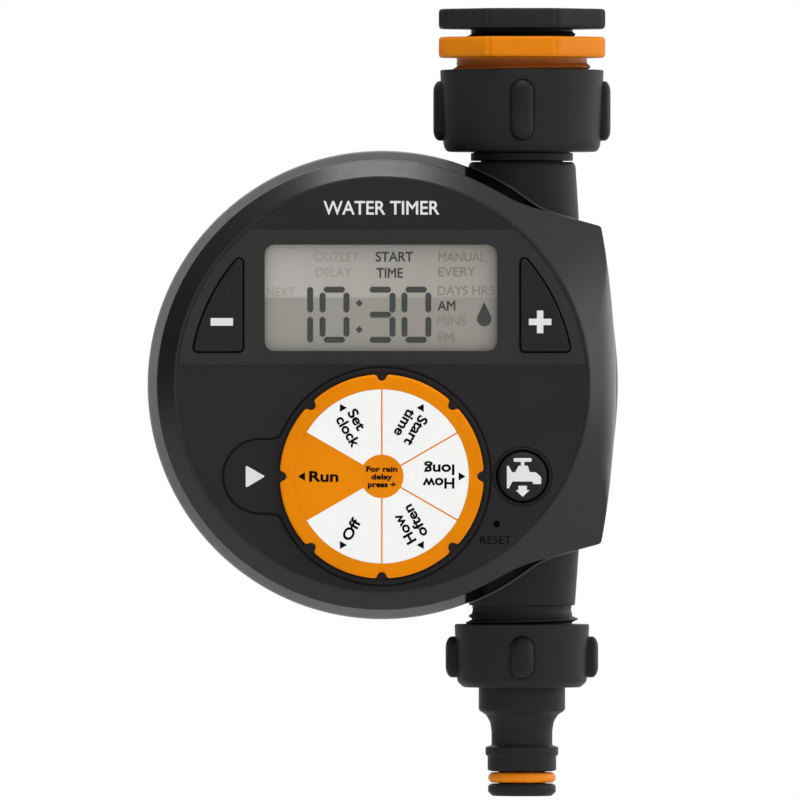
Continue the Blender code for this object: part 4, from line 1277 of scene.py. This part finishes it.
PRINT_Y = LABEL_Y - 0.06
LABELS = (
    (180, (("Run", 6.6, 0.0),)),
    (120, (("Set", 4.9, 1.6), ("clock", 7.6, -1.55))),
    (60, (("Start", 7.3, 1.6), ("time", 6.6, -1.55))),
    (0, (("How", 7.2, 1.6), ("long", 6.9, -1.55))),
    (300, (("How", 7.2, 1.6), ("often", 7.9, -1.55))),
    (240, (("Off", 5.2, 0.0),)),
)
ARROW = [(-19.6, 0.0), (-18.0, 0.98), (-18.0, -0.98)]
arrows = []
for angle, lines in LABELS:
    spin = math.radians(angle - 180)
    cos, sin = math.cos(spin), math.sin(spin)
    arrows.append([(DIAL_X + x * cos - z * sin, DIAL_Z + x * sin + z * cos) for x, z in ARROW])
    for i, (text, width, centre) in enumerate(lines, 1):
        name = f"label_{text.lower()}_{angle}_{i}"
        corner = (DIAL_X - 16.9, DIAL_Z + centre - 1.15)
        pivot = (DIAL_X, DIAL_Z)
        line = words(name, text, *corner, width, 2.3, PRINT_Y, BLACK_PRINT, 0.11, pivot, angle - 180)
        rides(line, "dial")
rides(sign("label_arrows", arrows, PRINT_Y, BLACK_PRINT), "dial")
HUB_LINES = (("For rain", 7.1, 1.7), ("delay", 4.75, -0.1), ("press +", 6.4, -1.9))
for i, (text, width, centre) in enumerate(HUB_LINES, 1):
    corner = (DIAL_X - width / 2, DIAL_Z + centre - 0.55)
    line = words(f"label_hub_{i}", text, *corner, width, 1.15, PRINT_Y, BLACK_PRINT, 0.08)
    rides(line, "dial")

# --- keys and buttons

KEY_Y = -30.6
for name, side in (("minus", -1), ("plus", 1)):
    button = f"{name}_button"
    key = plate(button + "_detail", [key_outline(side)], KEY_Y, -25.0, KEY, 0.35)
    flange = plate("flange", [key_outline(side, 1.3)], -25.8, -25.1, KEY, 0.1)
    join(key, flange, rod(2.0, -25.4, -24.6, (DISC_X + side * 37.5, -75.0)))
    rides(key, button, button)

minus = rounded_box(-70.5, -73.8, 5.25, 1.8, 0.12)
rides(sign("minus_sign", [minus], KEY_Y - 0.05, WHITE_INK), "minus_button")

ARM, THICK = 2.65, 0.75
cross = []
for a, b in ((1, 1), (-1, 1), (-1, -1), (1, -1)):
    corner = [(a * ARM, b * THICK), (a * THICK, b * THICK), (a * THICK, b * ARM)]
    cross += corner if a * b > 0 else corner[::-1]
plus = [(4.1 + x, -73.8 + z) for x, z in cross]
rides(sign("plus_sign", [plus], KEY_Y - 0.05, WHITE_INK), "plus_button")

manual_profile = [
    (0, 31.02), (4.4, 30.99), (4.9, 30.86), (5.3, 30.6), (5.6, 30.25), (5.76, 29.8), (5.8, 29.3),
    (5.8, 25.8), (7.2, 25.8), (7.4, 25.6), (7.4, 25.0), (2.0, 25.0), (2.0, 24.8), (1.8, 24.6),
    (0, 24.6),
]
manual_place = facing(MANUAL_X, MANUAL_Z)
turned_for("manual_button", manual_profile, KEY, place=manual_place, body="manual_button")
bezel_profile = [(6.28, 28.4, 0.1), (6.28, 30.05, 0.12), (6.64, 30.05, 0.12), (6.64, 28.4, 0.1)]
bezel_profile = filleted(bezel_profile)
turned_for("manual_bezel", bezel_profile, KEY, place=manual_place, ring=True)

TAP_BODY = [
    (-3.7, -107.5, 0.15), (-3.3, -107.5, 0.1), (-2.5, -109.0, 0.1), (-1.75, -109.0, 0.1),
    (-0.95, -107.5, 0.1), (-0.4, -107.5, 0.1), (-0.4, -106.4), (0.4, -106.4), (0.4, -107.5, 0.1),
    (1.2, -107.5, 0.1), (1.65, -109.0, 0.1), (3.1, -109.0, 1.3), (4.35, -110.2, 0.8),
    (4.35, -111.8, 0.1), (2.5, -111.8, 0.1), (2.2, -111.2, 0.1), (-2.4, -111.2, 0.1),
    (-3.2, -112.8, 0.1), (-3.7, -112.8, 0.15),
]
TAP_HANDLE = rounded_box(0.0, -106.15, 4.3, 0.9, 0.42)
DOWN_ARROW = [(-1.0, -112.2), (1.0, -112.2), (1.0, -113.2), (1.65, -113.2), (0, -114.8)]
DOWN_ARROW += [(-1.65, -113.2), (-1.0, -113.2)]
ICON_Y = -31.08
for name, outline, lift in (
    ("tap_icon", filleted(TAP_BODY), 0.0),
    ("tap_icon_handle", TAP_HANDLE, 0.01),
    ("tap_icon_arrow", DOWN_ARROW, 0.0),
):
    rides(sign(name, [outline], ICON_Y - lift, WHITE_INK), "manual_button")

TITLE_Y = PANEL_Y - 0.02
rides(words("reset_word", "RESET", -9.9, -125.8, 7.2, 1.75, TITLE_Y, RESET_PRINT))
title = words("title_word", "WATER TIMER", -46.6, -48.6, 27.0, 3.1, TITLE_Y, WHITE_INK, 0.06)
rides(title)

# --- rear housing, door, batteries


def back_edge(y_at_rim):
    """Depth of the housing's back past its flat, falling away over the wing."""
    return lambda _, radius: y_at_rim - 0.35 * (radius - REAR_R)


def rear_edge(grow):
    """The housing's outline as a function of the angle."""
    return lambda angle: case_radius(angle, REAR_R) + grow


housing = case_shell(
    "rear_housing_detail",
    [
        (50.2, BACK_Y), (51.0, BACK_Y - 0.1), (53.0, 29.0), (53.8, 28.4),
        (rear_edge(-1.0), back_edge(27.4)), (rear_edge(-0.55), back_edge(26.9)),
        (rear_edge(-0.22), back_edge(26.25)), (rear_edge(-0.05), back_edge(25.5)),
        (rear_edge(0.0), back_edge(24.8)), (rear_edge(0.0), SPLIT_Y + 0.5),
        (rear_edge(-0.1), SPLIT_Y + 0.2), (rear_edge(-0.35), SPLIT_Y), (rear_edge(-4.7), SPLIT_Y),
        (rear_edge(-4.7), SPLIT_Y + 2.0), (rear_edge(-2.2), SPLIT_Y + 2.0),
        (rear_edge(-2.2), back_edge(24.2)), (51.8, 26.8), (49.4, BACK_Y - 2.0),
    ],
    GREY,
)
cut(housing, bore(CORE_R + 0.3, -20, -160, 96))
half_w, half_h = BAY_WIDTH / 2, BAY_HEIGHT / 2
tub_low = (BAY_X - half_w - 3.4, 10.8, BAY_Z - half_h - 3.4)
join(housing, box(tub_low, (BAY_X + half_w + 3.4, 28.4, BAY_Z + half_h + 6.4)))
for x, z in SCREWS:
    join(housing, rod(4.2, -2.6, 29.0 if x < 0 else 23.4, (x, z)))
rebate = rounded_box(BAY_X, DOOR_Z, DOOR_WIDTH + 0.6, DOOR_HEIGHT + 0.6, 0.6)
opening = punch(rebate, 27.0, 40.0)
bay_low, bay_high = (BAY_X - half_w, 12.0, BAY_Z - half_h), (BAY_X + half_w, 40.0, BAY_Z + half_h)
along_hinge = Matrix.Translation((BAY_X * MM, HINGE_Y * MM, HINGE_Z * MM))
along_hinge = along_hinge @ Matrix.Rotation(math.radians(90), 4, "Y")
join(opening, box(bay_low, bay_high), bore(0.95, 20.0, -20.0, 32, along_hinge))
cut(housing, opening)
for screw in SCREWS:
    cut(housing, rod(1.8, -10, 12, screw, 32), rod(3.1, 9.7, 40, screw, 64))
rides(housing, "timer_body", "rear_housing")

door_outline = rounded_box(BAY_X, DOOR_Z, DOOR_WIDTH, DOOR_HEIGHT, 0.8)
door = plate("battery_door_detail", [door_outline], 28.4, 30.0, GREY, 0.25)
cut(door, box((BAY_X - 30, 25, HINGE_Z - 0.2), (BAY_X + 30, 35, HINGE_Z + 5)))
join(door, bore(1.3, 17.0, -17.0, 48, along_hinge), bore(0.8, 19.8, -19.8, 32, along_hinge))
for i in range(6):
    grip_groove = rounded_box(BAY_X, DOOR_Z - 17.0 - 1.6 * i, 16.0 - 1.6 * i, 0.8, 0.38)
    cut(door, punch(grip_groove, 29.5, 32))
rides(door, "battery_door", "battery_door")

seal = [rounded_box(BAY_X, BAY_Z, BAY_WIDTH + 3.6, BAY_HEIGHT + 3.6, 1.5)]
seal.append(rounded_box(BAY_X, BAY_Z, BAY_WIDTH + 0.8, BAY_HEIGHT + 0.8, 0.8))
plate_for("battery_seal", seal, 27.3, 28.1, BLACK_RUBBER, 0.3)

BATTERY_Y = 19.8
CELL = [
    (0, 25.2), (2.3, 25.2), (2.6, 24.95), (2.6, 24.0), (5.6, 23.9), (5.9, 24.1), (6.6, 24.1),
    (7.0, 23.8), (7.2, 23.3), (7.2, -23.9), (7.0, -24.3), (6.6, -24.5), (6.0, -24.5), (5.8, -24.3),
    (4.4, -24.3), (4.2, -24.6), (0, -24.6),
]
for number, (x, up) in enumerate(((BAY_X - 8.3, 1), (BAY_X + 8.3, -1)), 1):
    place = Matrix.Translation((x * MM, BATTERY_Y * MM, BAY_Z * MM))
    if up < 0:
        place = place @ Matrix.Rotation(math.radians(180), 4, "X")
    sleeve = battery_material(f"battery_sleeve_{number}", BAY_Z, up)
    turned_for(f"battery_{number}", CELL, sleeve, 96, place)

strip = [(-68.0, -116.7), (-68.0, -116.1), (-40.0, -116.1), (-40.0, -116.7)]
strip = filleted([(x, z, 0.2) for x, z in strip])
plate_for("battery_bridge", [strip], 14.0, 25.5, NICKEL, 0.12)

SCREW_THREAD = (1.05, 1.4, 1.0, 7.0)
SCREW_PROFILE = [(0, 9.0), (0.5, 8.6), (1.35, 7.6), (1.35, 7.2), *thread(SCREW_THREAD, 7.1, -4.0)]
SCREW_PROFILE += [(1.2, -4.2), (1.2, -9.9), (2.8, -9.95), (2.9, -10.1), (2.9, -10.9), (2.7, -11.45)]
SCREW_PROFILE += [(2.2, -11.8), (1.4, -11.95), (0, -12.0)]
for number, (x, z) in enumerate(SCREWS, 1):
    screw = turned(f"case_screw_{number}_detail", SCREW_PROFILE, STEEL, 64, facing(x, z))
    for w, h in ((1.5, 0.375), (0.375, 1.5)):
        cut(screw, box((x - w, 10.8, z - h), (x + w, 14.0, z + h)))
    rides(screw, node=f"case_screw_{number}")

# --- floor, light and camera

MIDDLE = (-0.03, 0.0, -0.09)
SKY_LEFT, SKY_RIGHT = 0.12, 1.03
SKY_LOW, SKY_HIGH = 0.85, 1.1
SKY_BEHIND = 1.6
SENSOR_WIDTH, LENS = 36, 1000
VIEW_X, VIEW_Z, VIEW_WIDTH = -28.74, -92.1, 187.5
FACE_DISTANCE = VIEW_WIDTH * LENS / SENSOR_WIDTH

def softbox(name, size, place, radiance):
    """A rectangular light that faces the object with the given radiance and isn't seen itself."""
    data = bpy.data.lights.new(name, "AREA")
    data.shape = "RECTANGLE"
    data.size, data.size_y = size
    data.energy = radiance * math.pi * size[0] * size[1]
    obj = added(name, data)
    obj.location = place
    obj.rotation_mode = "QUATERNION"
    obj.rotation_quaternion = (Vector(place) - Vector(MIDDLE)).to_track_quat("Z", "Y")
    obj.visible_camera = False
    return obj


def floor():
    """A pale plane below the object."""
    look = Look("floor_paint")
    mottle = look.noise(30)
    tone = look.blended(mottle, (0.78, 0.78, 0.78, 1), (0.82, 0.82, 0.82, 1))
    paint = look.done(tone, look.ranged(mottle, 0.75, 0.82))
    bm = bmesh.new()
    bmesh.ops.create_grid(bm, x_segments=4, y_segments=4, size=1.2)
    made("floor", bm, paint, Matrix.Translation((MIDDLE[0], 0, cad_box[0][2] - 0.03)))


def sky():
    """White where the camera sees it, and a studio's soft gradient where it lights the object."""
    world = bpy.data.worlds.new("studio")
    bpy.context.scene.world = world
    world.use_nodes = True
    nodes = Nodes(world.node_tree)
    nodes.tree.nodes.clear()
    generated = nodes.new("TexCoord").outputs["Generated"]
    split = nodes.new("SeparateXYZ", Vector=generated)
    across = nodes.ranged(split.outputs["X"], SKY_LEFT, SKY_RIGHT, -1.0, 0.15)
    upward = nodes.ranged(split.outputs["Z"], SKY_LOW, SKY_HIGH, -1.0, 1.0)
    behind = nodes.ranged(split.outputs["Y"], 1.0, SKY_BEHIND, 0.3, 0.95)
    strength = nodes.product(nodes.product(across, upward), behind)
    lit = nodes.new("Background", Color=(1, 1, 1, 1), Strength=strength)
    plain = nodes.new("Background", Color=(1, 1, 1, 1))
    seen = nodes.new("LightPath").outputs["Is Camera Ray"]
    either = nodes.new("MixShader", Fac=seen)
    nodes.feed(either.inputs[1], lit.outputs["Background"])
    nodes.feed(either.inputs[2], plain.outputs["Background"])
    nodes.new("OutputWorld", Surface=either.outputs["Shader"])


sky()
floor()
softbox("top_strip", (0.58, 0.3), (-0.075, -0.25, 1.1), 13.5)
glint = softbox("right_panel", (1.9, 1.35), (1.3, 0.2, -0.07), 1.7)
glint.visible_diffuse = False
softbox("back_panel", (1.2, 0.8), (-0.3, 1.5, 0.9), 2.2)

scene = bpy.context.scene
scene.view_settings.view_transform = "Standard"
camera_data = bpy.data.cameras.new("camera")
camera_data.sensor_width = SENSOR_WIDTH
camera_data.lens = LENS
camera_data.clip_end = 20
camera = added("camera", camera_data)
camera.location = Vector((VIEW_X, FACE_Y - FACE_DISTANCE, VIEW_Z)) * MM
camera.rotation_euler = (math.radians(90), 0, 0)
scene.camera = camera
